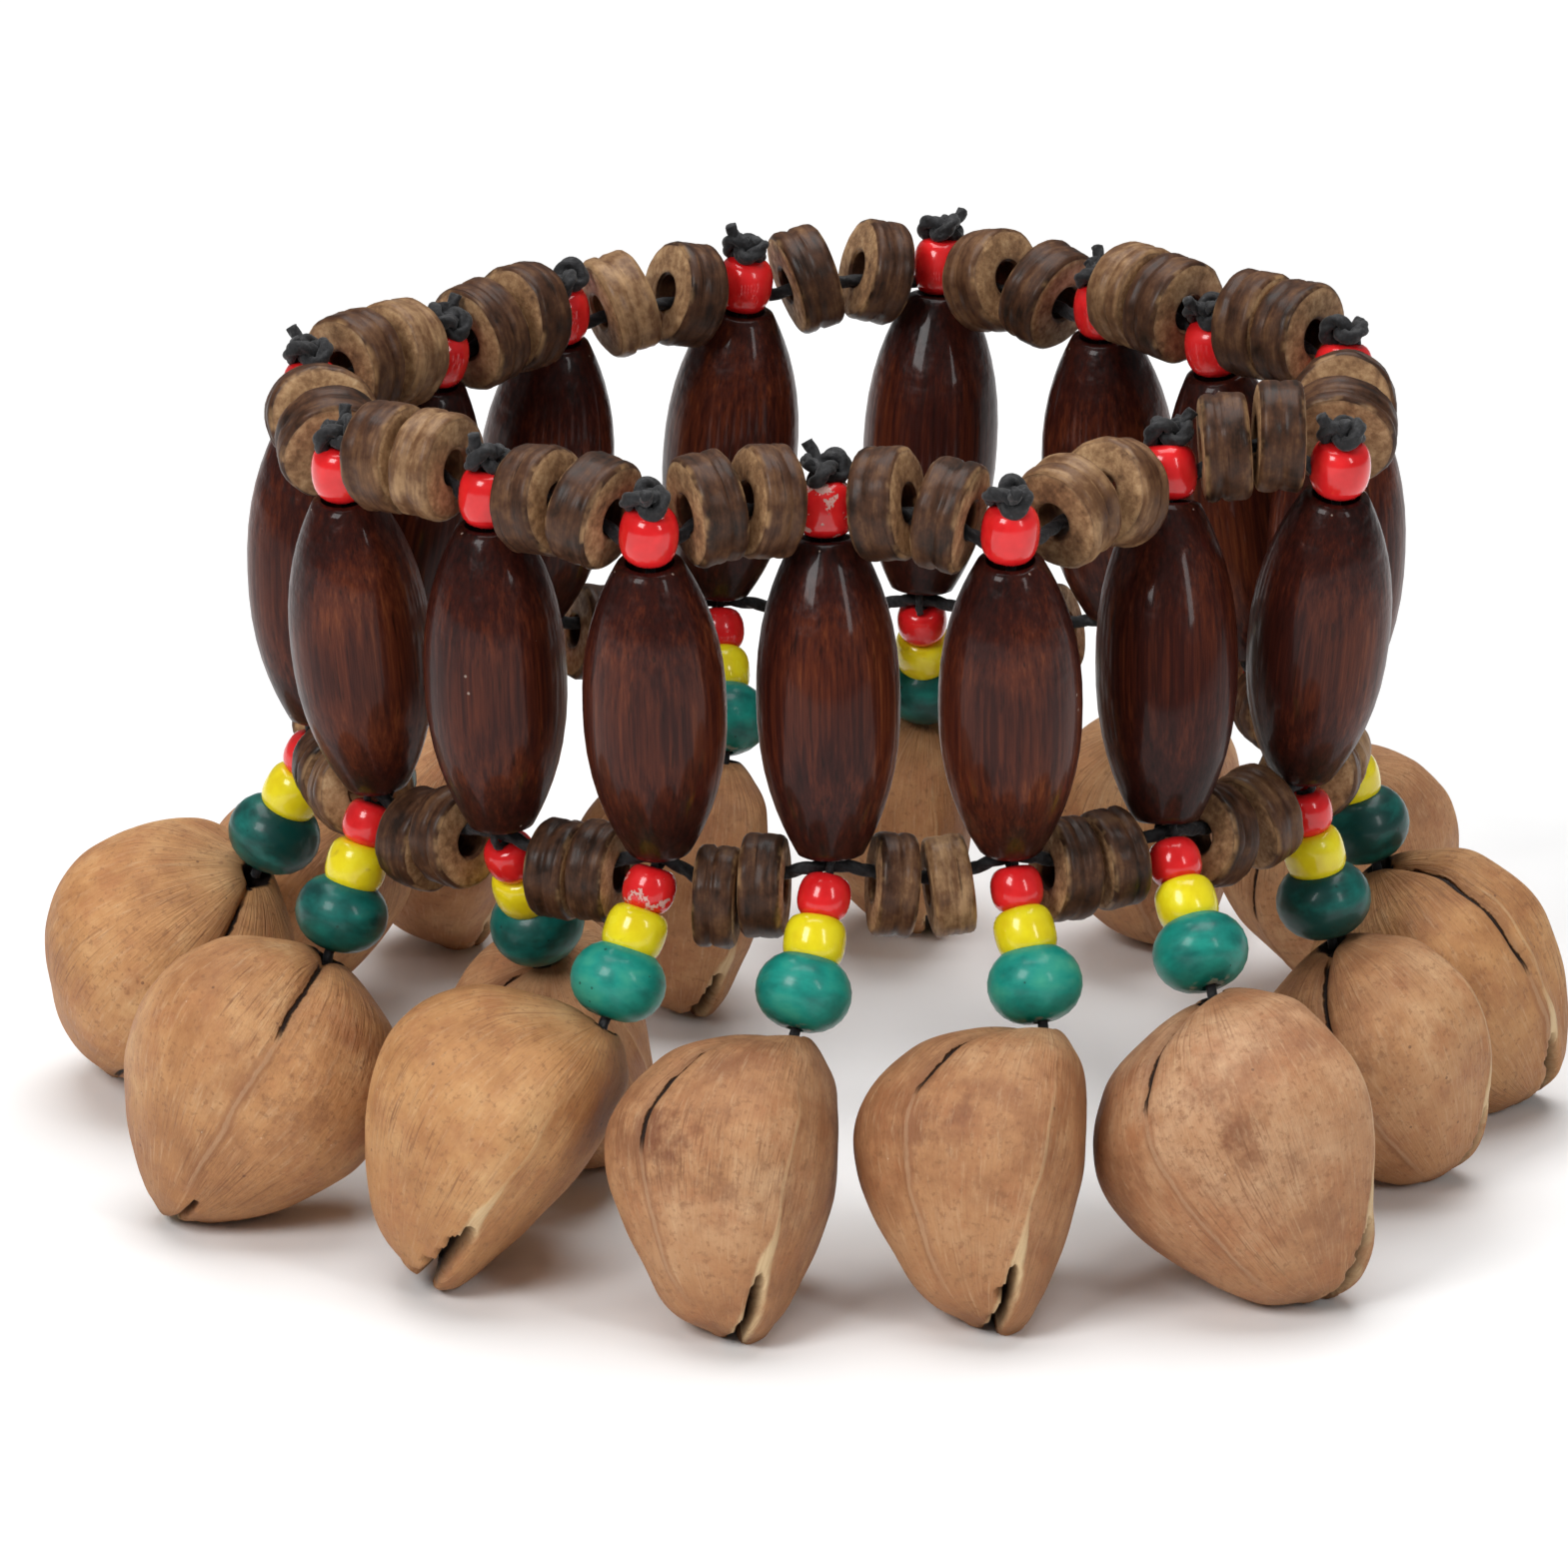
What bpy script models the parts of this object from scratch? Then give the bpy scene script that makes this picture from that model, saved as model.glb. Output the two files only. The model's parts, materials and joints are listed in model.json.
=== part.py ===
"""Nutshell shaker bracelet: two elastic rings, strung with coconut discs, hold upright oval wood beads.
Below each oval bead a cord carries a red, a yellow and a green bead and a hollow nut shell that rattles
against its neighbours. Metres, +Z up. The shells rest on Z = 0 and the wrist opening runs along Z.
"""

import math

import bmesh
import bpy
from mathutils import Matrix, Vector

for old in list(bpy.data.objects):
    bpy.data.objects.remove(old, do_unlink=True)

MM = 0.001

# Play between pieces that touch or turn on each other
CLEARANCE = 0.3 * MM

# Oval wood bead, turned, with flat ends and a bore that flares at each end
OVAL_LENGTH = 31.5 * MM
OVAL_RADIUS = 7.0 * MM
OVAL_END_RADIUS = 3.1 * MM
OVAL_FULLNESS = 2.3
OVAL_BORE_RADIUS = 1.5 * MM
OVAL_FLARE_RADIUS = 2.5 * MM
OVAL_FLARE_DEPTH = 2.0 * MM

# Cords: the elastic rings, the doubled strand cord and its loop round the lower elastic
ELASTIC_RADIUS = 0.7 * MM
STRAND_CORD_RADIUS = 0.55 * MM
LOOP_CORD_RADIUS = 0.4 * MM
KNOT_RADIUS = 2.1 * MM
INNER_KNOT_RADIUS = 1.9 * MM
NECK_LENGTH = 0.8 * MM

# Small beads
RED_RADIUS = 2.7 * MM
RED_LENGTH = 4.5 * MM
YELLOW_RADIUS = 3.1 * MM
YELLOW_LENGTH = 4.4 * MM
GREEN_RADIUS = 4.8 * MM
GREEN_LENGTH = 6.6 * MM

# Coconut shell discs, two in every gap of each ring, the larger ones on the upper ring
DISC_RADIUS = 5.2 * MM
DISC_THICKNESS = 4.3 * MM
UPPER_DISC_RADIUS = 5.6 * MM
UPPER_DISC_THICKNESS = 4.8 * MM
DISC_HOLE_RADIUS = 1.9 * MM
INWARD_ROOM = 0.65 * MM

# Nut shell: from the cord hole to the split tip, across the seam, and from that line to belly and back
NUT_LENGTH = 31.0 * MM
NUT_HALF_ACROSS = 14.6 * MM
NUT_BELLY = 17.4 * MM
NUT_BACK = 6.4 * MM
NUT_WALL = 1.4 * MM
NUT_HOLE_RADIUS = 1.6 * MM
NUT_SEAM_DEPTH = 0.5 * MM
NUT_REST_FLAT = 0.4 * MM

# The ring: its shape seen from above, its slack, and how much of a tail and of a nut stand under it
RING_WIDTH_TO_DEPTH = 1.275
GAP_SLACK = 5.2 * MM
TAIL_STAND = 0.72
NUT_STAND = 0.9

# Each strand in turn, counter-clockwise from the front left, as the bracelet stands on the table.
# Angles in degrees: place on the ring, lean of the oval bead's top (outward, then along the ring),
# way the bead tail leans (1 out, -1 in) and its lean along the ring, compass direction and lean of the
# nut's tip, compass direction of its belly. The last number is the size of that nut against the others.
STRANDS = (
    (209, 8, 3, 1, 0, 218, 40, 266, 0.96),
    (231, 3, 0, -1, 0, 52, 28, 180, 0.88),
    (251, 9, 1, 1, -11, 196, 37, 165, 0.98),
    (270, -7, -1, 1, -13, 250, 33, 167, 0.96),
    (290, 8, -3, 1, 0, 252, 34, 177, 0.96),
    (310, -12, 8, 1, 0, 310, 33, 217, 1.01),
    (336, 9, -6, 1, 0, 335, 29, 238, 0.84),
    (7, 2, 4, 1, 0, 339, 37, 240, 0.92),
    (31, -10, 0, 1, 0, 40, 15, 120, 0.88),
    (54, -7, 0, 1, 0, 60, 14, 150, 0.86),
    (79, 8, -2, 1, 0, 89, 6, 173, 0.82),
    (103, -4, -4, -1, 0, 240, 17, 193, 0.87),
    (127, -9, -1, 1, 0, 125, 15, 176, 0.87),
    (153, -12, 0, 1, 0, 160, 27, 142, 0.82),
    (181, 1, -3, 1, -8, 149, 38, 213, 0.96),
)

# Distances along a strand, all from the middle of the elastic that it crosses
END_GAP = ELASTIC_RADIUS + CLEARANCE
STRAND_RISE = OVAL_LENGTH + 2 * END_GAP
RED_TOP = END_GAP
RED_END = RED_TOP + RED_LENGTH
YELLOW_END = RED_END + YELLOW_LENGTH
GREEN_END = YELLOW_END + GREEN_LENGTH
TAIL_LENGTH = GREEN_END + NECK_LENGTH
LOOP_RADIUS = ELASTIC_RADIUS + CLEARANCE + LOOP_CORD_RADIUS
RING_HEIGHT = TAIL_STAND * TAIL_LENGTH + NUT_STAND * NUT_LENGTH

# The strands are as far apart as two discs and a red bead need, or an oval bead, or most of a nut
STRAND_PITCH = max(
    2 * DISC_THICKNESS + 2 * (RED_RADIUS + CLEARANCE) + GAP_SLACK - 4 * CLEARANCE,
    2 * (UPPER_DISC_THICKNESS + RED_RADIUS + 4 * CLEARANCE),
    2 * OVAL_RADIUS + GAP_SLACK,
    0.8 * (NUT_BELLY + NUT_BACK),
)
RING_RAMANUJAN = 3 * (RING_WIDTH_TO_DEPTH + 1) - math.sqrt(
    (3 * RING_WIDTH_TO_DEPTH + 1) * (RING_WIDTH_TO_DEPTH + 3)
)
RING_HALF_DEPTH = len(STRANDS) * STRAND_PITCH / (math.pi * RING_RAMANUJAN)
RING_HALF_WIDTH = RING_WIDTH_TO_DEPTH * RING_HALF_DEPTH

UP = Vector((0, 0, 1))


def make_material(name, colour, roughness):
    """A Principled material of one colour."""
    material = bpy.data.materials.new(name)
    material.use_nodes = True
    shader = material.node_tree.nodes["Principled BSDF"]
    shader.inputs["Base Color"].default_value = (*colour, 1)
    shader.inputs["Roughness"].default_value = roughness
    shader.inputs["Metallic"].default_value = 0.0
    return material


def make_object(name, shape, materials, placing=None):
    """An object of the finished shape, smooth except at its edges."""
    bmesh.ops.recalc_face_normals(shape, faces=shape.faces)
    mesh = bpy.data.meshes.new(name)
    shape.to_mesh(mesh)
    shape.free()
    for material in materials:
        mesh.materials.append(material)
    mesh.shade_smooth()
    mesh.set_sharp_from_angle(angle=math.radians(40))
    made = bpy.data.objects.new(name, mesh)
    bpy.context.collection.objects.link(made)
    if placing is not None:
        made.matrix_world = placing
    return made


def axes(x, y, z, origin):
    """The placing of a piece whose own axes point along x, y and z."""
    turned = Matrix((x, y, z)).transposed().to_4x4()
    return Matrix.Translation(origin) @ turned


def revolve(profile, segments, first_material=0, materials_by_height=()):
    """A body turned about Z from (radius, height) points that run from its top to its bottom."""
    shape = bmesh.new()
    points = [shape.verts.new((radius, 0, height)) for radius, height in profile]
    edges = [shape.edges.new(pair) for pair in zip(points, points[1:])]
    if profile[0][0] > 0:
        edges.append(shape.edges.new((points[-1], points[0])))
    bmesh.ops.spin(
        shape,
        geom=points + edges,
        axis=UP,
        cent=(0, 0, 0),
        steps=segments,
        angle=2 * math.pi,
        use_merge=True,
    )
    bmesh.ops.remove_doubles(shape, verts=shape.verts, dist=0.00001)
    for face in shape.faces:
        face.material_index = first_material
        for below, index in materials_by_height:
            if face.calc_center_median().z < below:
                face.material_index = index
    bmesh.ops.recalc_face_normals(shape, faces=shape.faces)
    return shape


def unite(body, addition):
    """Fuses one object into another with a Boolean union and removes the added one."""
    union = body.modifiers.new("union", "BOOLEAN")
    union.operation = "UNION"
    union.solver = "EXACT"
    union.material_mode = "TRANSFER"
    union.object = addition
    apply_modifiers(body)
    bpy.data.objects.remove(addition, do_unlink=True)


def apply_modifiers(body):
    """Replaces an object's mesh by its shape with the modifiers applied."""
    ready = body.evaluated_get(bpy.context.evaluated_depsgraph_get())
    mesh = bpy.data.meshes.new_from_object(ready)
    mesh.name = body.name
    body.modifiers.clear()
    body.data = mesh


def oval_radius_at(height):
    """The oval bead's radius at a height from its middle."""
    share = min(abs(2 * height / OVAL_LENGTH), 1)
    return OVAL_END_RADIUS + (OVAL_RADIUS - OVAL_END_RADIUS) * (1 - share**OVAL_FULLNESS)


def oval_shape():
    """The turned oval bead: a barrel profile outside, a flared bore inside."""
    half = OVAL_LENGTH / 2
    outside = [(oval_radius_at(share * half), share * half) for share in (1, 0.8, 0.36, -0.36, -0.8, -1)]
    inside = [
        (OVAL_FLARE_RADIUS, -half),
        (OVAL_BORE_RADIUS, OVAL_FLARE_DEPTH - half),
        (OVAL_BORE_RADIUS, half - OVAL_FLARE_DEPTH),
        (OVAL_FLARE_RADIUS, half),
    ]
    return revolve(outside + inside, 9)


def bead_profile(radius, length, top, end_share):
    """A rounded bead's outline below a given height: end, shoulder, shoulder, end."""
    end = radius * end_share
    round_height = 0.26 * length
    return [
        (end, top),
        (radius, top - round_height),
        (radius, top - length + round_height),
        (end, top - length),
    ]


def tail_shape():
    """Red, yellow and green bead of a tail, threaded one under another."""
    profile = [(0, -RED_TOP)]
    profile += bead_profile(RED_RADIUS, RED_LENGTH, -RED_TOP, 0.55)
    profile += bead_profile(YELLOW_RADIUS, YELLOW_LENGTH, -RED_END - 0.02 * MM, 0.55)[1:]
    profile += bead_profile(GREEN_RADIUS, GREEN_LENGTH, -YELLOW_END, 0.5)
    profile.append((0, -GREEN_END))
    return revolve(profile, 7, 1, ((-RED_END, 2), (-YELLOW_END, 3)))


def anchor_shape():
    """The tail's cord from the green bead through the nut's hole, to a knot that can't slip out of it."""
    knot_top = NUT_WALL + 1.5 * CLEARANCE
    profile = [
        (0, 2 * NECK_LENGTH),
        (STRAND_CORD_RADIUS, 2 * NECK_LENGTH),
        (STRAND_CORD_RADIUS, -knot_top),
        (INNER_KNOT_RADIUS, -knot_top - 0.8 * INNER_KNOT_RADIUS),
        (0, -knot_top - 1.7 * INNER_KNOT_RADIUS),
    ]
    return revolve(profile, 5)


def loop_shape():
    """The strand cord's loop round the lower elastic, whose axis is the loop's own Y."""
    steps = 6
    middle = LOOP_RADIUS / math.cos(math.pi / steps)
    shape = bmesh.new()
    rim = bmesh.ops.create_circle(
        shape, segments=4, radius=LOOP_CORD_RADIUS, matrix=Matrix.Translation((middle, 0, 0))
    )
    edges = list({edge for vert in rim["verts"] for edge in vert.link_edges})
    bmesh.ops.spin(
        shape,
        geom=rim["verts"] + edges,
        axis=(0, 1, 0),
        cent=(0, 0, 0),
        steps=steps,
        angle=2 * math.pi,
        use_merge=True,
    )
    bmesh.ops.remove_doubles(shape, verts=shape.verts, dist=0.00001)
    bmesh.ops.recalc_face_normals(shape, faces=shape.faces)
    return shape


def head_shape():
    """The top of a strand: knot, red bead, and the cord that runs down through the oval bead."""
    red_bottom = 0.5 * ELASTIC_RADIUS
    red_top = red_bottom + RED_LENGTH
    core_end = STRAND_RISE - LOOP_RADIUS - LOOP_CORD_RADIUS - CLEARANCE
    profile = [
        (0, red_top + 1.7 * KNOT_RADIUS),
        (KNOT_RADIUS, red_top + 0.9 * KNOT_RADIUS),
        (0.5 * KNOT_RADIUS, red_top + 0.1 * MM),
    ]
    profile += bead_profile(RED_RADIUS, RED_LENGTH, red_top, 0.55)
    profile += [(STRAND_CORD_RADIUS, red_bottom), (STRAND_CORD_RADIUS, -core_end), (0, -core_end)]
    return revolve(profile, 6, 0, ((red_top, 1), (red_bottom, 0)))


def knot_end_shape():
    """The cut end of the cord that sticks out of a knot."""
    shape = bmesh.new()
    placing = Matrix.Translation((0, 0, 0.5 * ELASTIC_RADIUS + RED_LENGTH + 1.1 * KNOT_RADIUS))
    placing = placing @ Matrix.Rotation(math.radians(62), 4, "Y")
    placing = placing @ Matrix.Translation((0, 0, KNOT_RADIUS))
    bmesh.ops.create_cone(
        shape,
        cap_ends=True,
        segments=5,
        radius1=0.6 * MM,
        radius2=0.6 * MM,
        depth=2 * KNOT_RADIUS,
        matrix=placing,
    )
    return shape


def add_placed(gathered, shape, placing, material):
    """Adds a shape, at its place, to a mesh that gathers several of them."""
    shape.transform(placing)
    if material is not None:
        for face in shape.faces:
            face.material_index = material
    spare = bpy.data.meshes.new("spare")
    shape.to_mesh(spare)
    shape.free()
    gathered.from_mesh(spare)
    bpy.data.meshes.remove(spare)


# How full the nut is on its way from the cord hole to the tip: share of length, across, belly, back
NUT_FORM = (
    (0.05, 0.42, 0.42, 0.52),
    (0.15, 0.78, 0.76, 0.84),
    (0.36, 1.00, 0.98, 1.00),
    (0.58, 0.95, 0.92, 0.97),
    (0.82, 0.62, 0.60, 0.76),
    (1.00, 0.17, 0.26, 0.42),
)
NUT_COLUMNS = (0, 38, 70, 90, 110, 142, 180, 218, 250, 270, 290, 322)


def nut_ring(form, wall, size):
    """One outline of the nut at a share of its length, drawn in by the wall and dented at its seam."""
    share, across, belly, back = form
    half_across = max(across * NUT_HALF_ACROSS - wall, 0.7 * MM)
    depth = share * NUT_LENGTH
    outline = []
    for column in NUT_COLUMNS:
        cosine = math.cos(math.radians(column))
        sine = math.sin(math.radians(column))
        half_along = (belly * NUT_BELLY if sine > 0 else back * NUT_BACK) - wall
        reach = ((abs(cosine) / half_across) ** 2.3 + (abs(sine) / half_along) ** 2.3) ** (-1 / 2.3)
        if abs(cosine) < 0.1:
            reach -= NUT_SEAM_DEPTH
        outline.append((reach * cosine * size, reach * sine * size, -depth * size))
    return outline


def hole_ring(depth):
    """The edge of the cord hole at a depth below the nut's top."""
    angles = [math.radians(column) for column in NUT_COLUMNS]
    radius = NUT_HOLE_RADIUS
    return [(radius * math.cos(angle), radius * math.sin(angle), -depth) for angle in angles]


def nut_shape(size):
    """A hollow two-lobed shell, its cord hole at the origin on top and its split tip straight below.
    The outlines run down the outside, in through the split tip and back up the inside."""
    rings = [hole_ring(0)]
    rings += [nut_ring(form, 0, size) for form in NUT_FORM]
    rings += [nut_ring(NUT_FORM[station], NUT_WALL, size) for station in (5, 3, 1)]
    rings.append(hole_ring(NUT_WALL))
    shape = bmesh.new()
    loops = [[shape.verts.new(point) for point in ring] for ring in rings]
    for upper, lower in zip(loops, loops[1:] + loops[:1]):
        for i in range(len(upper)):
            j = (i + 1) % len(upper)
            shape.faces.new((upper[i], upper[j], lower[j], lower[i]))
    bmesh.ops.recalc_face_normals(shape, faces=shape.faces)
    return shape


class Strand:
    """Where one strand stands: its two elastic crossings, its axis, its hinge line, its tail and its nut."""

    def __init__(self, place):
        degrees, lean_out, lean_along, way, tail_along = place[:5]
        nut_heading, nut_lean, nut_belly, self.nut_size = place[5:]
        cosine = math.cos(math.radians(degrees))
        sine = math.sin(math.radians(degrees))
        self.low = Vector((RING_HALF_WIDTH * cosine, RING_HALF_DEPTH * sine, RING_HEIGHT))
        along = Vector((-RING_HALF_WIDTH * sine, RING_HALF_DEPTH * cosine, 0)).normalized()
        outward = along.cross(UP)
        leaning = UP + math.tan(math.radians(lean_out)) * outward
        leaning += math.tan(math.radians(lean_along)) * along
        self.axis = leaning.normalized()
        self.hinge = (along - along.dot(self.axis) * self.axis).normalized()
        self.front = self.hinge.cross(self.axis)
        self.high = self.low + STRAND_RISE * self.axis
        self.oval_placing = axes(self.front, self.hinge, self.axis, (self.low + self.high) / 2)
        self.head_placing = axes(self.front, self.hinge, self.axis, self.high)

        heading = math.radians(nut_heading)
        lean = math.radians(nut_lean)
        tip_way = Vector((math.cos(heading), math.sin(heading), 0))
        nut_up = math.cos(lean) * UP - math.sin(lean) * tip_way
        belly = Vector((math.cos(math.radians(nut_belly)), math.sin(math.radians(nut_belly)), 0))
        nut_across = belly.cross(nut_up).normalized()
        nut_turned = Matrix((nut_across, nut_up.cross(nut_across), nut_up)).transposed()
        nut = nut_shape(self.nut_size)
        nut_depth = max(-(nut_turned @ vert.co).z for vert in nut.verts) - NUT_REST_FLAT
        nut.free()

        down = (-UP + UP.dot(self.hinge) * self.hinge).normalized()
        out = self.hinge.cross(-down)
        along_share = math.sin(math.radians(tail_along))
        swing_share = math.cos(math.radians(tail_along))
        drop = RING_HEIGHT - nut_depth + TAIL_LENGTH * along_share * self.hinge.z
        drop /= TAIL_LENGTH * swing_share * -down.z
        tail_lean = way * math.acos(max(-1, min(1, drop)))
        swung = math.cos(tail_lean) * down + math.sin(tail_lean) * out
        self.tail_way = swing_share * swung + along_share * self.hinge
        tail_across = (self.hinge - self.hinge.dot(self.tail_way) * self.tail_way).normalized()
        self.tail_placing = axes(tail_across.cross(-self.tail_way), tail_across, -self.tail_way, self.low)
        yellow_room = YELLOW_RADIUS + (INWARD_ROOM if way < 0 else 0)
        yellow_shift = along_share * (RED_END + YELLOW_END) / 4
        self.room_before = yellow_room + max(-yellow_shift, 0)
        self.room_after = yellow_room + max(yellow_shift, 0)
        self.nut_hole = self.low + TAIL_LENGTH * self.tail_way
        self.nut_placing = Matrix.Translation(self.nut_hole) @ nut_turned.to_4x4()

    def oval_clear(self, point):
        """True where a point is clear of this strand's oval bead."""
        offset = self.oval_placing.inverted() @ point
        if abs(offset.z) > OVAL_LENGTH / 2 + CLEARANCE:
            return True
        return math.hypot(offset.x, offset.y) > oval_radius_at(offset.z) + CLEARANCE


def disc_shape(radius, thickness):
    """A coconut disc with its hole along Z."""
    half = thickness / 2
    profile = [(radius, half), (radius, -half), (DISC_HOLE_RADIUS, -half), (DISC_HOLE_RADIUS, half)]
    return revolve(profile, 8)


def place_discs(before, after, upper):
    """Two discs in one gap of a ring: their placings, and where the elastic runs through each."""
    start, end = (before.high, after.high) if upper else (before.low, after.low)
    way = (end - start).normalized()
    side = 1 if upper else -1
    rise = (before.axis + after.axis).normalized()
    rise = (rise - rise.dot(way) * way).normalized() * side
    radius, thickness = (UPPER_DISC_RADIUS, UPPER_DISC_THICKNESS) if upper else (DISC_RADIUS, DISC_THICKNESS)
    room_before = RED_RADIUS if upper else before.room_after
    room_after = RED_RADIUS if upper else after.room_before
    play = ((end - start).length - room_before - room_after) / 2 - thickness - CLEARANCE
    middle = (start + end) / 2 + (room_before - room_after) / 2 * way
    splay = max(min((play - 0.1 * MM) / (2 * radius), 0.25), 0)
    tilt = math.asin(splay)
    from_middle = thickness / 2 + splay * radius + 0.05 * MM
    placed = []
    for half, neighbour in ((-1, before), (1, after)):
        turn = Matrix.Rotation(half * tilt, 3, rise.cross(way))
        face = turn @ way
        stand = turn @ rise
        lift = DISC_HOLE_RADIUS
        while lift < 2 * radius:
            centre = middle + half * from_middle * way + lift * rise
            edge = [
                centre + reach * face + radius * (Matrix.Rotation(math.radians(spin), 3, face) @ stand)
                for reach in (-thickness / 2, 0, thickness / 2)
                for spin in range(0, 360, 30)
            ]
            if all(neighbour.oval_clear(point) for point in edge):
                break
            lift += 0.1 * MM
        placing = axes(stand, face.cross(stand), face, centre)
        placed.append((placing, centre - (DISC_HOLE_RADIUS - 0.6 * ELASTIC_RADIUS) * stand))
    return placed


def ring_object(name, strands, upper, materials):
    """One elastic ring with its discs fused on it, and for the upper ring the strand heads too."""
    discs = bmesh.new()
    radius, thickness = (UPPER_DISC_RADIUS, UPPER_DISC_THICKNESS) if upper else (DISC_RADIUS, DISC_THICKNESS)
    route = []
    for number, before in enumerate(strands):
        after = strands[(number + 1) % len(strands)]
        crossing = before.high if upper else before.low
        route.append((crossing, before.hinge))
        for placing, hole in place_discs(before, after, upper):
            add_placed(discs, disc_shape(radius, thickness), placing, 2)
            route.append((hole, None))

    curve = bpy.data.curves.new(name, "CURVE")
    curve.dimensions = "3D"
    curve.bevel_depth = ELASTIC_RADIUS
    curve.bevel_resolution = 0
    curve.resolution_u = 2
    spline = curve.splines.new("BEZIER")
    spline.bezier_points.add(len(route) - 1)
    spline.use_cyclic_u = True
    for point, (place, along) in zip(spline.bezier_points, route):
        point.co = place
        point.handle_left_type = "AUTO"
        point.handle_right_type = "AUTO"
        if along is not None:
            point.handle_left_type = "FREE"
            point.handle_right_type = "FREE"
            point.handle_left = place - 0.14 * STRAND_PITCH * along
            point.handle_right = place + 0.14 * STRAND_PITCH * along
    guide = bpy.data.objects.new(name, curve)
    bpy.context.collection.objects.link(guide)
    cord_mesh = bpy.data.meshes.new_from_object(guide.evaluated_get(bpy.context.evaluated_depsgraph_get()))
    bpy.data.objects.remove(guide, do_unlink=True)
    cord = bmesh.new()
    cord.from_mesh(cord_mesh)
    bpy.data.meshes.remove(cord_mesh)
    for face in cord.faces:
        face.material_index = 0
    ring = make_object(name, cord, materials)

    if upper:
        heads = bmesh.new()
        knot_ends = bmesh.new()
        for strand in strands:
            add_placed(heads, head_shape(), strand.head_placing, None)
            add_placed(knot_ends, knot_end_shape(), strand.head_placing, 0)
        unite(ring, make_object("heads", heads, materials))
        unite(ring, make_object("knot_ends", knot_ends, materials))
    unite(ring, make_object("discs", discs, materials))
    ring.data.shade_smooth()
    ring.data.set_sharp_from_angle(angle=math.radians(40))
    return ring


black_cord = make_material("black_cord", (0.012, 0.012, 0.013), 0.8)
red_lacquer = make_material("red_lacquer", (0.62, 0.012, 0.014), 0.25)
yellow_lacquer = make_material("yellow_lacquer", (0.8, 0.62, 0.01), 0.25)
green_stain = make_material("green_stain", (0.01, 0.16, 0.13), 0.45)
coconut_shell = make_material("coconut_shell", (0.1, 0.055, 0.032), 0.5)
dark_wood = make_material("dark_wood", (0.06, 0.014, 0.009), 0.25)
nut_brown = make_material("nut_brown", (0.36, 0.19, 0.095), 0.6)

strands = [Strand(place) for place in STRANDS]

ring_object("upper_ring", strands, True, [black_cord, red_lacquer, coconut_shell])
ring_object("lower_ring", strands, False, [black_cord, red_lacquer, coconut_shell])

table = bpy.data.objects.new("table_cutter", bpy.data.meshes.new("table_cutter"))
slab = bmesh.new()
bmesh.ops.create_cube(slab, size=1, matrix=Matrix.Translation((0, 0, -0.5)))
slab.to_mesh(table.data)
slab.free()
table.hide_render = True
table.display_type = "WIRE"
bpy.context.collection.objects.link(table)

for number, strand in enumerate(strands, 1):
    make_object(f"oval_bead_{number:02d}", oval_shape(), [dark_wood], strand.oval_placing)

    tail = make_object(
        f"bead_tail_{number:02d}",
        tail_shape(),
        [black_cord, red_lacquer, yellow_lacquer, green_stain],
        strand.tail_placing,
    )
    unite(tail, make_object("loop", loop_shape(), [black_cord], strand.tail_placing))
    unite(tail, make_object("anchor", anchor_shape(), [black_cord], strand.nut_placing))

    nut = make_object(f"nut_shell_{number:02d}", nut_shape(strand.nut_size), [nut_brown], strand.nut_placing)
    flat = nut.modifiers.new("rest_flat", "BOOLEAN")
    flat.operation = "DIFFERENCE"
    flat.solver = "EXACT"
    flat.object = table
    apply_modifiers(nut)
    nut.data.shade_smooth()
    nut.data.set_sharp_from_angle(angle=math.radians(40))

bpy.data.objects.remove(table, do_unlink=True)

# The finished bracelet is moved so that the origin is under the middle of it
bpy.context.view_layer.update()
pieces = [piece for piece in bpy.data.objects if piece.type == "MESH"]
points = [piece.matrix_world @ vert.co for piece in pieces for vert in piece.data.vertices]
middle_x = (min(point.x for point in points) + max(point.x for point in points)) / 2
middle_y = (min(point.y for point in points) + max(point.y for point in points)) / 2
for piece in pieces:
    piece.location -= Vector((middle_x, middle_y, 0))
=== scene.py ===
import json
import math

import bpy
import numpy as np
from mathutils import Matrix, Vector, noise


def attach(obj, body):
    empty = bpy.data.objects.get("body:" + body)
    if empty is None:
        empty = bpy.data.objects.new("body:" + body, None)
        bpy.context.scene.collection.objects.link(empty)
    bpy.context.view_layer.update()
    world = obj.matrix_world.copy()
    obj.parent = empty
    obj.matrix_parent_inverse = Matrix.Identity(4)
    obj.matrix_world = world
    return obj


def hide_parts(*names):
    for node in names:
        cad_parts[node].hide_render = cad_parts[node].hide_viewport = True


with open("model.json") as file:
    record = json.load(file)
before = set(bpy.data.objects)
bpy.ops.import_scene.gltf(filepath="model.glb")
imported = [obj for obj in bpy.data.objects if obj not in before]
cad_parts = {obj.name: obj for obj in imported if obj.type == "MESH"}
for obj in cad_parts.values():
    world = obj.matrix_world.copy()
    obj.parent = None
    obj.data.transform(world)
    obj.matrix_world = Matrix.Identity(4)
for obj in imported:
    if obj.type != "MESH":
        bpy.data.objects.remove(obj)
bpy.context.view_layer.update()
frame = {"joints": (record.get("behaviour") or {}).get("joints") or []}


# Oval wood beads: fifteen barrels turned from dark reddish hardwood, with a bore that flares at both ends.
# They are dipped in a brown stain and a thick glossy lacquer, and the wood is darker towards both ends.
# A cord through the bore holds each one upright between the two elastics.
MM = 0.001
OVAL_LENGTH = 31.5 * MM
OVAL_RADIUS = 7.0 * MM
OVAL_END_RADIUS = 3.1 * MM
OVAL_FULLNESS = 2.3
OVAL_BORE = 1.5 * MM
OVAL_FLARE = 2.4 * MM
OVAL_FLARE_DEPTH = 2.0 * MM
OVAL_END_ROUND = 0.35 * MM
hand = np.random.default_rng(15)


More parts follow.
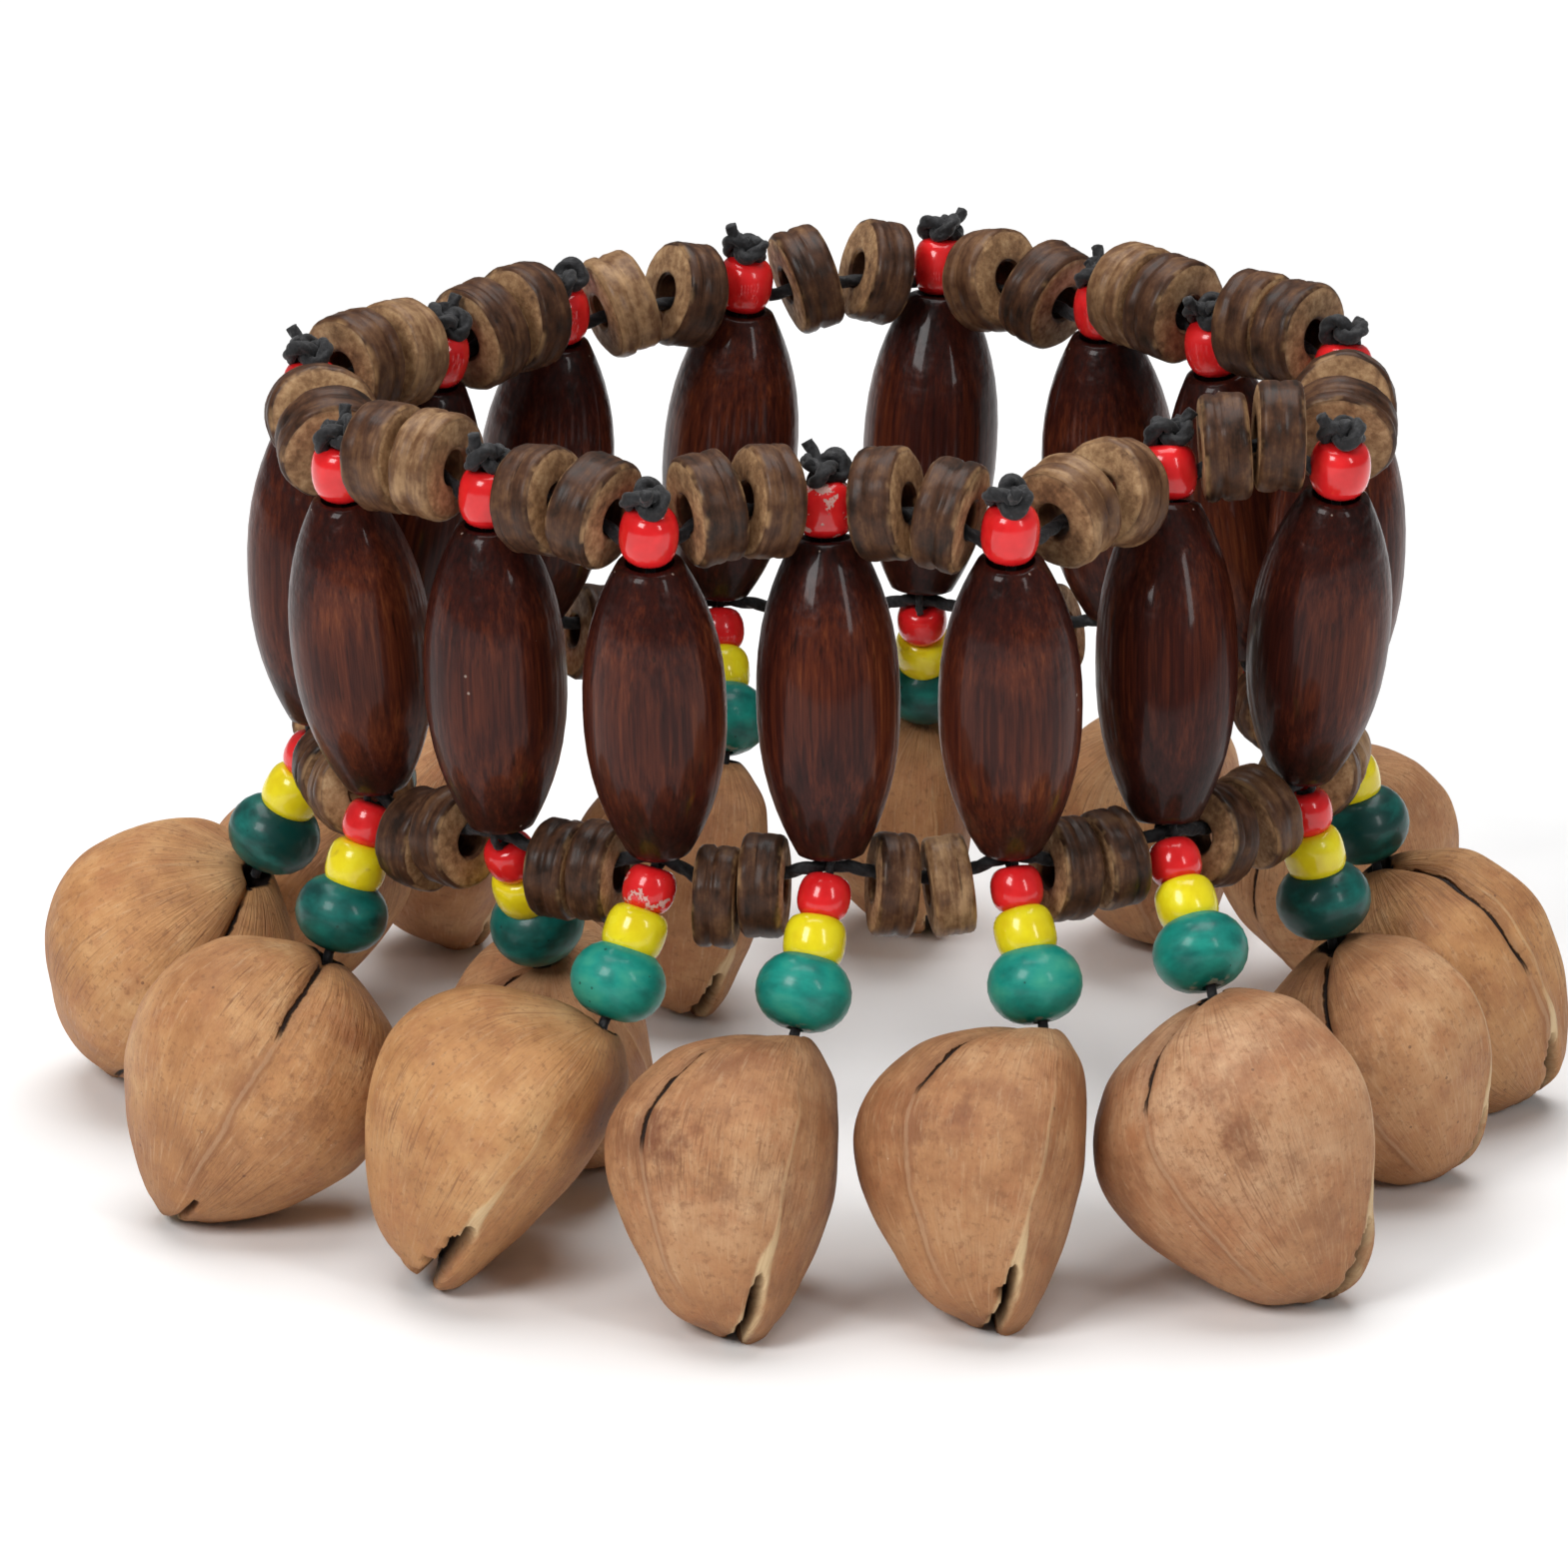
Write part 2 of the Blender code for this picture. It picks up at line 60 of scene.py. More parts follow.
def oval_radius(height):
    """The oval bead's radius at a height from its middle."""
    swell = 1 - abs(2 * height / OVAL_LENGTH) ** OVAL_FULLNESS
    return OVAL_END_RADIUS + (OVAL_RADIUS - OVAL_END_RADIUS) * swell


def turn_on_lathe(name, outline, steps):
    """Turns a bead about its own Z: (radius, height) points run down its outside and back up its bore."""
    bpy.ops.object.select_all(action="DESELECT")
    bpy.ops.mesh.primitive_plane_add(size=MM)
    bead = bpy.context.object
    bead.name = name
    bpy.ops.object.mode_set(mode="EDIT")
    bpy.ops.mesh.merge(type="CENTER")
    bpy.ops.transform.translate(value=(outline[0][0], 0, outline[0][1]))
    for (radius, height), (next_radius, next_height) in zip(outline, outline[1:] + outline[:1]):
        step = (next_radius - radius, 0, next_height - height)
        bpy.ops.mesh.extrude_vertices_move(TRANSFORM_OT_translate={"value": step})
    bpy.ops.mesh.select_all(action="SELECT")
    bpy.ops.mesh.remove_doubles(threshold=0.005 * MM)
    bpy.ops.mesh.spin(steps=steps, angle=2 * math.pi, center=(0, 0, 0), axis=(0, 0, 1))
    bpy.ops.mesh.select_all(action="SELECT")
    bpy.ops.mesh.remove_doubles(threshold=0.005 * MM)
    bpy.ops.mesh.normals_make_consistent(inside=False)
    bpy.ops.object.mode_set(mode="OBJECT")
    bpy.ops.object.shade_smooth_by_angle(angle=math.radians(40))
    return bead


def give_grain(mesh, tone):
    """Keeps where each point is on the piece itself, and the piece's own tone, for the materials."""
    places = np.empty(len(mesh.vertices) * 3, np.float32)
    mesh.vertices.foreach_get("co", places)
    grain = mesh.attributes.new("grain", "FLOAT_VECTOR", "POINT")
    grain.data.foreach_set("vector", places)
    tones = mesh.attributes.new("tone", "FLOAT", "POINT")
    tones.data.foreach_set("value", np.full(len(mesh.vertices), tone, np.float32))


def copy_piece(model, name, placing, tone, size=(1, 1, 1)):
    """A copy of a modelled piece, with its own mesh, at its place."""
    copied = model.copy()
    copied.data = model.data.copy()
    copied.name = name
    copied.data.name = name
    bpy.context.collection.objects.link(copied)
    copied.data.transform(Matrix.Diagonal((*size, 1)))
    give_grain(copied.data, tone)
    copied.data.transform(placing)
    return copied


def axes(x, y, z, origin):
    """The placing of a piece whose own axes point along x, y and z."""
    return Matrix.Translation(origin) @ Matrix((x, y, z)).transposed().to_4x4()


def feed(tree, socket, value):
    """Links an input to another node's output, or sets it to a plain value."""
    if isinstance(value, bpy.types.NodeSocket):
        tree.links.new(value, socket)
    else:
        socket.default_value = value


def add_node(tree, kind, **values):
    """Adds a shader node. Each value sets or links the input of that name, or sets the node's property."""
    made = tree.nodes.new("ShaderNode" + kind)
    for key, value in values.items():
        sockets = [s for s in made.inputs if s.enabled and s.name.lower().replace(" ", "_") == key]
        if sockets:
            feed(tree, sockets[0], value)
        else:
            setattr(made, key, value)
    return made


def attribute(tree, name, output="Fac"):
    """The output that reads a value kept on the mesh."""
    return add_node(tree, "Attribute", attribute_name=name).outputs[output]


def math_node(tree, operation, first, second=0.0):
    """A sum, product or other arithmetic of two values."""
    made = tree.nodes.new("ShaderNodeMath")
    made.operation = operation
    feed(tree, made.inputs[0], first)
    feed(tree, made.inputs[1], second)
    return made.outputs[0]


def weigh(tree, *parts):
    """The sum of several values, each times its weight."""
    total = 0.0
    for value, weight in parts:
        total = math_node(tree, "ADD", total, math_node(tree, "MULTIPLY", value, weight))
    return total


def new_group(name, vectors, numbers, output):
    """An empty group of shader nodes with one output: the group, what it is given and where it puts out."""
    group = bpy.data.node_groups.new(name, "ShaderNodeTree")
    for label in vectors:
        group.interface.new_socket(label, in_out="INPUT", socket_type="NodeSocketVector")
    for label in numbers:
        group.interface.new_socket(label, in_out="INPUT", socket_type="NodeSocketFloat")
    group.interface.new_socket(output, in_out="OUTPUT", socket_type="NodeSocketFloat")
    return group, group.nodes.new("NodeGroupInput").outputs, group.nodes.new("NodeGroupOutput").inputs[0]


# How far the cloudy pattern shifts between a piece of tone 0 and one of tone 1
TONE_SPREAD = 37.0
mottle_group, given, put_out = new_group(
    "mottle", ("Vector", "Stretch"), ("Tone", "Scale", "Detail", "Roughness"), "Clouds"
)
stretched = add_node(mottle_group, "VectorMath", operation="MULTIPLY")
mottle_group.links.new(given["Vector"], stretched.inputs[0])
mottle_group.links.new(given["Stretch"], stretched.inputs[1])
clouds = add_node(mottle_group, "TexNoise", noise_dimensions="4D", vector=stretched.outputs[0])
mottle_group.links.new(math_node(mottle_group, "MULTIPLY", given["Tone"], TONE_SPREAD), clouds.inputs["W"])
for label in ("Scale", "Detail", "Roughness"):
    mottle_group.links.new(given[label], clouds.inputs[label])
mottle_group.links.new(clouds.outputs[0], put_out)


def mottle(tree, vector, scale, detail=4.0, rough=0.55, stretch=(1, 1, 1)):
    """A cloudy pattern that differs from piece to piece. Scale counts its patches in a metre."""
    made = add_node(tree, "Group", node_tree=mottle_group, vector=vector, stretch=stretch)
    values = (("Tone", attribute(tree, "tone")), ("Scale", scale), ("Detail", detail), ("Roughness", rough))
    for label, value in values:
        feed(tree, made.inputs[label], value)
    return made.outputs[0]


def fade(tree, value, start, end, low=0.0, high=1.0):
    """Turns the part of a value from start to end into a smooth change from low to high."""
    made = add_node(tree, "MapRange", interpolation_type="SMOOTHSTEP", value=value)
    for name, number in (("From Min", start), ("From Max", end), ("To Min", low), ("To Max", high)):
        made.inputs[name].default_value = number
    return made.outputs[0]


def colours(tree, value, *stops):
    """Colours along a value, each stop being a place and a colour."""
    made = tree.nodes.new("ShaderNodeValToRGB")
    tree.links.new(value, made.inputs[0])
    ramp = made.color_ramp
    while len(ramp.elements) < len(stops):
        ramp.elements.new(0.5)
    for element, (place, colour) in zip(ramp.elements, stops):
        element.position = place
        element.color = (*colour, 1)
    return made.outputs[0]


def paint_over(tree, share, under, over, strength=1.0):
    """One colour painted over another where the share says, as strongly as told."""
    made = tree.nodes.new("ShaderNodeMix")
    made.data_type = "RGBA"
    tree.links.new(math_node(tree, "MULTIPLY", share, strength), made.inputs[0])
    for socket, colour in ((made.inputs[6], under), (made.inputs[7], over)):
        feed(tree, socket, (*colour, 1) if isinstance(colour, tuple) else colour)
    return made.outputs[2]


def new_material(name, **values):
    """An empty procedural material: its node tree and its shader, with what is the same all over set."""
    material = bpy.data.materials.new(name)
    material.use_nodes = True
    tree = material.node_tree
    shader = tree.nodes["Principled BSDF"]
    for key, value in values.items():
        next(s for s in shader.inputs if s.name.lower().replace(" ", "_") == key).default_value = value
    return material, tree, shader


def relief(tree, shader, height, depth):
    """Lets a pattern stand in relief, depth being how far it rises in metres."""
    bump = add_node(tree, "Bump", strength=1.0, distance=depth, height=height)
    tree.links.new(bump.outputs[0], shader.inputs["Normal"])


DUSTY_SHARE = 0.28
dust_group, given, put_out = new_group("dust_specks", ("Vector",), ("Scale", "Reach"), "Specks")
cells = add_node(dust_group, "TexVoronoi", vector=given["Vector"], scale=given["Scale"])
in_reach = math_node(dust_group, "LESS_THAN", cells.outputs["Distance"], given["Reach"])
lot = add_node(dust_group, "SeparateColor", color=cells.outputs["Color"])
dusty = math_node(dust_group, "GREATER_THAN", lot.outputs[0], 1 - DUSTY_SHARE)
dust_group.links.new(math_node(dust_group, "MULTIPLY", in_reach, dusty), put_out)


def dust(tree, vector, scale, reach):
    """A mask of scattered specks."""
    return add_node(tree, "Group", node_tree=dust_group, vector=vector, scale=scale, reach=reach).outputs[0]


lacquered_wood, tree, shader = new_material(
    "lacquered_wood", coat_weight=0.22, coat_roughness=0.09, specular_ior_level=0.08
)
grain = attribute(tree, "grain", "Vector")
streaks = mottle(tree, grain, 2000, 6, 0.66, (1, 1, 0.025))
warmth = mottle(tree, grain, 110, 2, 0.5, (1, 1, 0.4))
up_bead = add_node(tree, "SeparateXYZ", vector=grain).outputs[2]
# Darker towards both ends.
ends = fade(tree, math_node(tree, "ABSOLUTE", up_bead), 0.2 * OVAL_LENGTH, 0.5 * OVAL_LENGTH)
wood = colours(
    tree,
    weigh(tree, (streaks, 0.75), (warmth, 0.6), (ends, -0.16)),
    (0.4, (0.011, 0.003, 0.0026)),
    (0.6, (0.038, 0.0078, 0.005)),
    (0.74, (0.09, 0.0195, 0.0085)),
    (0.9, (0.19, 0.052, 0.018)),
)
pores = fade(tree, mottle(tree, grain, 3000, 2, 0.5, (1, 1, 0.05)), 0.6, 0.7)
wood = paint_over(tree, pores, wood, (0.008, 0.003, 0.002), 0.55)
wood = paint_over(tree, dust(tree, grain, 420, 0.06), wood, (0.45, 0.36, 0.3), 0.6)
tree.links.new(wood, shader.inputs["Base Color"])
tree.links.new(fade(tree, streaks, 0.3, 0.7, 0.44, 0.28), shader.inputs["Roughness"])
pooled = fade(tree, up_bead, 0.0, 0.36 * OVAL_LENGTH, 0.25, 1.0)
runs = math_node(tree, "MULTIPLY", mottle(tree, grain, 640, 2, 0.4), pooled)
relief(tree, shader, weigh(tree, (streaks, 0.4), (runs, 3.2)), 0.1 * MM)

half = OVAL_LENGTH / 2
oval_end = [(OVAL_FLARE, half), (OVAL_END_RADIUS - OVAL_END_ROUND, half)]
for share in (0.985, 0.95, 0.88, 0.8, 0.7, 0.58, 0.45, 0.3, 0.15):
    oval_end.append((oval_radius(share * half), share * half))
oval_outline = oval_end + [(OVAL_RADIUS, 0)] + [(radius, -height) for radius, height in reversed(oval_end)]
oval_outline += [(OVAL_BORE, OVAL_FLARE_DEPTH - half), (OVAL_BORE, half - OVAL_FLARE_DEPTH)]
oval_model = turn_on_lathe("oval_model", oval_outline, 56)
oval_model.data.materials.append(lacquered_wood)

joints = {joint["name"]: joint for joint in frame["joints"]}
strands = []
for number in range(1, 16):
    spin = joints[f"oval_spin_{number:02d}"]
    swing = joints[f"tail_swing_{number:02d}"]
    axis = Vector(spin["axis"])
    middle = Vector(spin["pos_m"])
    low = Vector(swing["pos_m"])
    nut_hole = Vector(joints[f"nut_swing_{number:02d}"]["pos_m"])
    hinge = -Vector(swing["axis"])
    strands.append(
        {
            "axis": axis,
            "middle": middle,
            "low": low,
            "high": 2 * middle - low,
            "hinge": hinge,
            "front": hinge.cross(axis),
            "nut_hole": nut_hole,
            "tail_way": (nut_hole - low).normalized(),
        }
    )

for number, strand in enumerate(strands, 1):
    placing = axes(strand["front"], strand["hinge"], strand["axis"], strand["middle"])
    placing = placing @ Matrix.Rotation(hand.uniform(0, 2 * math.pi), 4, "Z")
    bead = copy_piece(oval_model, f"oval_wood_bead_{number:02d}", placing, hand.uniform())
    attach(bead, f"oval_{number:02d}")
    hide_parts(f"oval_bead_{number:02d}")
bpy.data.objects.remove(oval_model, do_unlink=True)


# Coconut discs: thick slices cut from coconut shell, drilled, tumbled and oiled. The rims are dark and
# streaked round, the sawn faces are paler, dry and fibrous, and no two slices are quite alike.
# Two in each gap of both elastics lean apart and keep the oval beads at their distance.
DISC_RADIUS = 5.2 * MM
DISC_THICKNESS = 4.3 * MM
UPPER_DISC_RADIUS = 5.6 * MM
UPPER_DISC_THICKNESS = 4.8 * MM
DISC_HOLE = 1.7 * MM
DISC_BEVEL = 0.25 * MM
DISC_FIBRE_RING = 3.6 * MM
# How far a disc's middle stands off the line of the strands, and off the elastic in its hole
DISC_LIFT = 1.9 * MM
HOLE_OFFSET = 0.9 * MM
# The beads beside the discs: how thick they are, half the way down a tail to its yellow bead, which brings
# a slanting tail nearer to a disc, and the room that a tail needs to swing inwards
RED_RADIUS = 2.7 * MM
YELLOW_RADIUS = 3.1 * MM
YELLOW_SHIFT = 3.85 * MM
INWARD_ROOM = 0.65 * MM
CLEARANCE = 0.3 * MM
ELASTIC_RADIUS = 0.7 * MM


def from_axis(tree, vector):
    """How far a place on a piece lies from the piece's own Z."""
    flat = add_node(tree, "VectorMath", operation="MULTIPLY")
    tree.links.new(vector, flat.inputs[0])
    flat.inputs[1].default_value = (1, 1, 0)
    length = add_node(tree, "VectorMath", operation="LENGTH")
    tree.links.new(flat.outputs[0], length.inputs[0])
    return length.outputs["Value"]


coconut_rim, tree, shader = new_material(
    "coconut_rim", coat_weight=0.08, coat_roughness=0.2, specular_ior_level=0.18
)
grain = attribute(tree, "grain", "Vector")
layers = mottle(tree, grain, 1000, 4, 0.6, (0.16, 0.16, 1.5))
patches = mottle(tree, grain, 330, 5, 0.68, (1, 1, 1.4))
paler = fade(tree, attribute(tree, "tone"), 0.5, 1.0, -0.05, 0.17)
shell = colours(
    tree,
    weigh(tree, (layers, 0.4), (patches, 0.68), (paler, 1.0)),
    (0.38, (0.018, 0.0085, 0.005)),
    (0.52, (0.066, 0.027, 0.013)),
    (0.66, (0.155, 0.075, 0.034)),
    (0.82, (0.38, 0.23, 0.115)),
)
off_middle = math_node(tree, "ABSOLUTE", add_node(tree, "SeparateXYZ", vector=grain).outputs[2])
near_edge = fade(tree, off_middle, 1.55 * MM, 2.15 * MM)
worn = math_node(tree, "MULTIPLY", near_edge, fade(tree, mottle(tree, grain, 420, 3), 0.46, 0.66))
shell = paint_over(tree, worn, shell, (0.4, 0.235, 0.11))
scratches = fade(tree, mottle(tree, grain, 1500, 3, 0.6, (0.06, 0.06, 1.6)), 0.63, 0.72)
shell = paint_over(tree, scratches, shell, (0.012, 0.007, 0.005), 0.55)
tree.links.new(shell, shader.inputs["Base Color"])
tree.links.new(fade(tree, patches, 0.3, 0.7, 0.36, 0.58), shader.inputs["Roughness"])
relief(tree, shader, weigh(tree, (layers, 1.0), (scratches, -0.5)), 0.12 * MM)

coconut_face, tree, shader = new_material("coconut_face", specular_ior_level=0.35)
grain = attribute(tree, "grain", "Vector")
fibres = mottle(tree, grain, 1100, 5, 0.68)
clouds = mottle(tree, grain, 330, 3, 0.5)
shell = colours(
    tree,
    weigh(tree, (fibres, 0.7), (clouds, 0.4)),
    (0.36, (0.09, 0.042, 0.02)),
    (0.52, (0.27, 0.145, 0.066)),
    (0.64, (0.44, 0.265, 0.13)),
    (0.8, (0.6, 0.42, 0.24)),
)
reach = from_axis(tree, grain)
skin = fade(tree, reach, 0.86 * DISC_RADIUS, 0.97 * DISC_RADIUS)
shell = paint_over(tree, skin, shell, (0.06, 0.03, 0.017), 0.85)
# Darker towards the hole.
darker_near_hole = fade(tree, reach, DISC_HOLE + 0.7 * MM, DISC_HOLE)
shell = paint_over(tree, darker_near_hole, shell, (0.03, 0.014, 0.008), 0.7)
tree.links.new(shell, shader.inputs["Base Color"])
tree.links.new(fade(tree, fibres, 0.3, 0.7, 0.85, 0.6), shader.inputs["Roughness"])
relief(tree, shader, fibres, 0.16 * MM)

edge = DISC_THICKNESS / 2
disc_face = [
    (DISC_HOLE, edge - DISC_BEVEL),
    (DISC_HOLE + DISC_BEVEL, edge),
    (DISC_FIBRE_RING, edge),
    (DISC_RADIUS - 0.9 * MM, edge),
    (DISC_RADIUS - 0.4 * MM, edge - 0.12 * MM),
    (DISC_RADIUS - 0.14 * MM, edge - 0.34 * MM),
]
disc_rim = [(DISC_RADIUS, height * 0.3 * MM) for height in range(5, -6, -1)]
disc_outline = disc_face + disc_rim + [(radius, -height) for radius, height in reversed(disc_face)]
disc_model = turn_on_lathe("disc_model", disc_outline, 48)
disc_model.data.materials.append(coconut_rim)
disc_model.data.materials.append(coconut_face)
for face in disc_model.data.polygons:
    if abs(face.normal.z) > 0.9:
        face.material_index = 1


def whittle(disc, placing):
    """Makes one slice of coconut differ from the next: not quite round, thicker on one side, chipped."""
    back = placing.inverted()
    bite = hand.uniform(0, 2 * math.pi)
    wedge = hand.uniform(0.0, 0.09)
    wobble = hand.uniform(0, 2 * math.pi, 2)
    groove = hand.uniform(0.0, 0.09)
    groove_height = hand.uniform(-0.8, 0.8) * MM
    seed = Vector(hand.uniform(-9, 9, 3))
    for vertex in disc.data.vertices:
        place = back @ vertex.co
        turn = math.atan2(place.y, place.x)
        reach = math.hypot(place.x, place.y)
        if reach > 1.2 * DISC_HOLE:
            uneven = 0.022 * math.cos(2 * turn + wobble[0]) + 0.014 * math.cos(3 * turn + wobble[1])
            rough = 0.03 * noise.noise(place * 700 + seed)
            share = 1 - 0.03 + uneven + rough
            if reach > 0.98 * DISC_RADIUS:
                layer = Vector((place.z / (0.55 * MM), 0.7 * math.cos(turn), 0.7 * math.sin(turn)))
                share -= 0.022 * max(noise.noise(layer + seed), 0)
                share -= groove * math.exp(-(((place.z - groove_height) / (0.2 * MM)) ** 2))
            place.x *= min(share, 1.0)
            place.y *= min(share, 1.0)
        place.z *= 1 - wedge * (0.5 - 0.5 * reach / DISC_RADIUS * math.cos(turn - bite))
        vertex.co = placing @ place


def oval_clear(strand, point):
    """True where a point is clear of a strand's oval bead."""
    along = (point - strand["middle"]).dot(strand["axis"])
    if abs(along) > OVAL_LENGTH / 2 + CLEARANCE:
        return True
    off_axis = (point - strand["middle"] - along * strand["axis"]).length
    return off_axis > oval_radius(along) + CLEARANCE


def place_discs(number, upper):
    """The two discs in the gap after a strand: their placings, and where the elastic runs through each."""
    before, after = strands[number - 1], strands[number % 15]
    start, end = (before["high"], after["high"]) if upper else (before["low"], after["low"])
    way = (end - start).normalized()
    rise = (before["axis"] + after["axis"]).normalized()
    rise = (rise - rise.dot(way) * way).normalized() * (1 if upper else -1)
    radius, thickness = (UPPER_DISC_RADIUS, UPPER_DISC_THICKNESS) if upper else (DISC_RADIUS, DISC_THICKNESS)
    rooms = (RED_RADIUS, RED_RADIUS) if upper else (before["room_after"], after["room_before"])
    play = ((end - start).length - sum(rooms)) / 2 - thickness - CLEARANCE
    middle = (start + end) / 2 + (rooms[0] - rooms[1]) / 2 * way
    splay = max(min((play - 0.1 * MM) / (2 * radius), 0.25), 0)
    from_middle = thickness / 2 + splay * radius + 0.05 * MM
    placed = []
    for side, neighbour in ((-1, before), (1, after)):
        turn = Matrix.Rotation(side * math.asin(splay), 3, rise.cross(way))
        face = turn @ way
        stand = turn @ rise
        lift = DISC_LIFT
        while lift < 2 * radius:
            centre = middle + side * from_middle * way + lift * rise
            rim = [
                centre + reach * face + radius * (Matrix.Rotation(math.radians(spin), 3, face) @ stand)
                for reach in (-thickness / 2, 0, thickness / 2)
                for spin in range(0, 360, 30)
            ]
            if all(oval_clear(neighbour, point) for point in rim):
                break
            lift += 0.1 * MM
        placed.append((axes(stand, face.cross(stand), face, centre), centre - HOLE_OFFSET * stand))
    return placed


for strand in strands:
    leans_in = strand["tail_way"].dot(strand["front"]) < 0
    room = YELLOW_RADIUS + (INWARD_ROOM if leans_in else 0)
    shift = YELLOW_SHIFT * strand["tail_way"].dot(strand["hinge"])
    strand["room_before"] = room + max(-shift, 0)
    strand["room_after"] = room + max(shift, 0)

elastic_routes = {}
for ring, upper in (("upper", True), ("lower", False)):
    route = []
    for number, strand in enumerate(strands, 1):
        route.append(strand["high"] if upper else strand["low"])
        for side, (placing, hole) in zip("ab", place_discs(number, upper)):
            route.append(hole)
            placing = placing @ Matrix.Rotation(hand.uniform(0, 2 * math.pi), 4, "Z")
            if upper:
                wider = UPPER_DISC_RADIUS / DISC_RADIUS
                placing = placing @ Matrix.Diagonal((wider, wider, UPPER_DISC_THICKNESS / DISC_THICKNESS, 1))
            tone = hand.uniform()
            disc = copy_piece(disc_model, f"{ring}_disc_{number:02d}{side}", placing, tone)
            whittle(disc, placing)
            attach(disc, "band")
    elastic_routes[ring] = route
bpy.data.objects.remove(disc_model, do_unlink=True)


# Elastic rings: two loops of black twisted elastic cord, one above and one below the oval beads.
# Each runs through its discs and past every strand, where the strand cord holds it.
# They are drawn tight and knotted out of sight inside a disc.
black_cord, tree, shader = new_material("black_cord", specular_ior_level=0.35, sheen_weight=0.15)
place = add_node(tree, "TexCoord").outputs["Object"]
fuzz = add_node(tree, "TexNoise", vector=place, scale=2600.0, detail=4.0).outputs[0]
worn_wax = add_node(tree, "TexNoise", vector=place, scale=700.0, detail=3.0).outputs[0]
thread = colours(
    tree, fuzz, (0.3, (0.004, 0.004, 0.0045)), (0.62, (0.013, 0.013, 0.015)), (0.8, (0.05, 0.05, 0.055))
)
thread = paint_over(tree, fade(tree, worn_wax, 0.55, 0.75, 0.0, 0.5), thread, (0.035, 0.035, 0.038))
tree.links.new(thread, shader.inputs["Base Color"])
tree.links.new(fade(tree, worn_wax, 0.3, 0.7, 0.5, 0.8), shader.inputs["Roughness"])
relief(tree, shader, fuzz, 0.12 * MM)


def curve_through(rows, steps):
    """A smooth curve from the second of the given rows to the last but one, in steps between rows."""
    fine = []
    for a, b, c, d in zip(rows, rows[1:], rows[2:], rows[3:]):
        for share in np.linspace(0, 1, steps, endpoint=False):
            bend = 2 * a - 5 * b + 4 * c - d + share * (3 * (b - c) + d - a)
            fine.append(b + 0.5 * share * (c - a + share * bend))
    fine.append(rows[-2])
    return np.array(fine)


def run_along(steps):
    """How far along a curve each of its points lies, from the steps between them."""
    return np.concatenate([[0], np.cumsum(steps)])


def spread_evenly(fine, run, count):
    """The given number of evenly spaced places on a curve."""
    where = np.linspace(0, run[-1], count)
    return np.stack([np.interp(where, run, column) for column in fine.T], 1)


def smooth_path(points, step, closed):
    """Evenly spaced points on a smooth curve through the given ones."""
    points = np.array([tuple(point) for point in points])
    if closed:
        rows = np.vstack([points[-1:], points, points[:2]])
    else:
        rows = np.vstack([2 * points[0] - points[1], points, 2 * points[-1] - points[-2]])
    fine = curve_through(rows, 24)
    run = run_along(np.linalg.norm(np.diff(fine, axis=0), axis=1))
    even = spread_evenly(fine, run, max(int(round(run[-1] / step)), 3) + 1)
    return even[:-1] if closed else even


def twist_cord(name, points, radius, closed, plies=3, lay=2.4 * MM, around=18):
    """A cord of twisted plies laid along a path, as one closed skin."""
    path = smooth_path(points, lay / 9, closed)
    count = len(path)
    if closed:
        ways = np.roll(path, -1, 0) - np.roll(path, 1, 0)
    else:
        ways = np.gradient(path, axis=0)
    ways /= np.linalg.norm(ways, axis=1)[:, None]
    side = np.cross(ways[0], (0.3, 0.5, 0.81))
    sides = []
    for way in ways:
        side = side - side.dot(way) * way
        side = side / np.linalg.norm(side)
        sides.append(side)
    sides = np.array(sides)
    ups = np.cross(ways, sides)
    turns = round(count / 9)
    angles = np.linspace(0, 2 * math.pi, around, endpoint=False)
    vertices = []
    for station in range(count):
        twist = 2 * math.pi * turns * station / count / plies
        reach = radius * (0.7 + 0.3 * np.abs(np.cos(plies * (angles - twist) / 2)))
        ring = path[station] + reach[:, None] * (
            np.cos(angles)[:, None] * sides[station] + np.sin(angles)[:, None] * ups[station]
        )
        vertices.extend(ring)
    faces = []
    for station in range(count if closed else count - 1):
        here, there = station * around, (station + 1) % count * around
        for k in range(around):
            m = (k + 1) % around
            faces.append((here + k, here + m, there + m, there + k))
    if not closed:
        faces.append(tuple(range(around))[::-1])
        faces.append(tuple(range((count - 1) * around, count * around)))
    mesh = bpy.data.meshes.new(name)
    mesh.from_pydata([tuple(vertex) for vertex in vertices], [], faces)
    mesh.materials.append(black_cord)
    mesh.shade_smooth()
    cord = bpy.data.objects.new(name, mesh)
    bpy.context.collection.objects.link(cord)
    return cord


def join_pieces(name, *pieces):
    """Joins pieces of one material into one object."""
    bpy.ops.object.select_all(action="DESELECT")
    for piece in pieces:
        piece.select_set(True)
    bpy.context.view_layer.objects.active = pieces[0]
    bpy.ops.object.join()
    pieces[0].name = name
    pieces[0].data.name = name
    return pieces[0]


for ring, route in elastic_routes.items():
    elastic = twist_cord(f"{ring}_elastic", route, ELASTIC_RADIUS, True)
    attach(elastic, "band")
    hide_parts(f"{ring}_ring")


# Strand heads: on top of each oval bead the doubled strand cord comes up past the elastic, through a small
# red lacquered bead, and ends in an overhand knot of waxed cotton with its ends cut short.
# The same cord runs down through the oval bead's bore to the lower elastic.
RED_LENGTH = 4.5 * MM
# The upper red beads are drawn down over the elastic, onto the oval bead's end
UPPER_RED_SIZE = (1.1, 1.1, 1.25)
UPPER_RED_DROP = 0.7 * MM
STRAND_CORD_RADIUS = 0.55 * MM
KNOT_WIDTH = 2.0 * MM
KNOT_HALF_HEIGHT = 0.8 * MM
KNOT_CORD = 0.78 * MM
KNOT_LAY = 1.8 * MM
KNOT_ENDS = (3.4 * MM, 2.2 * MM)
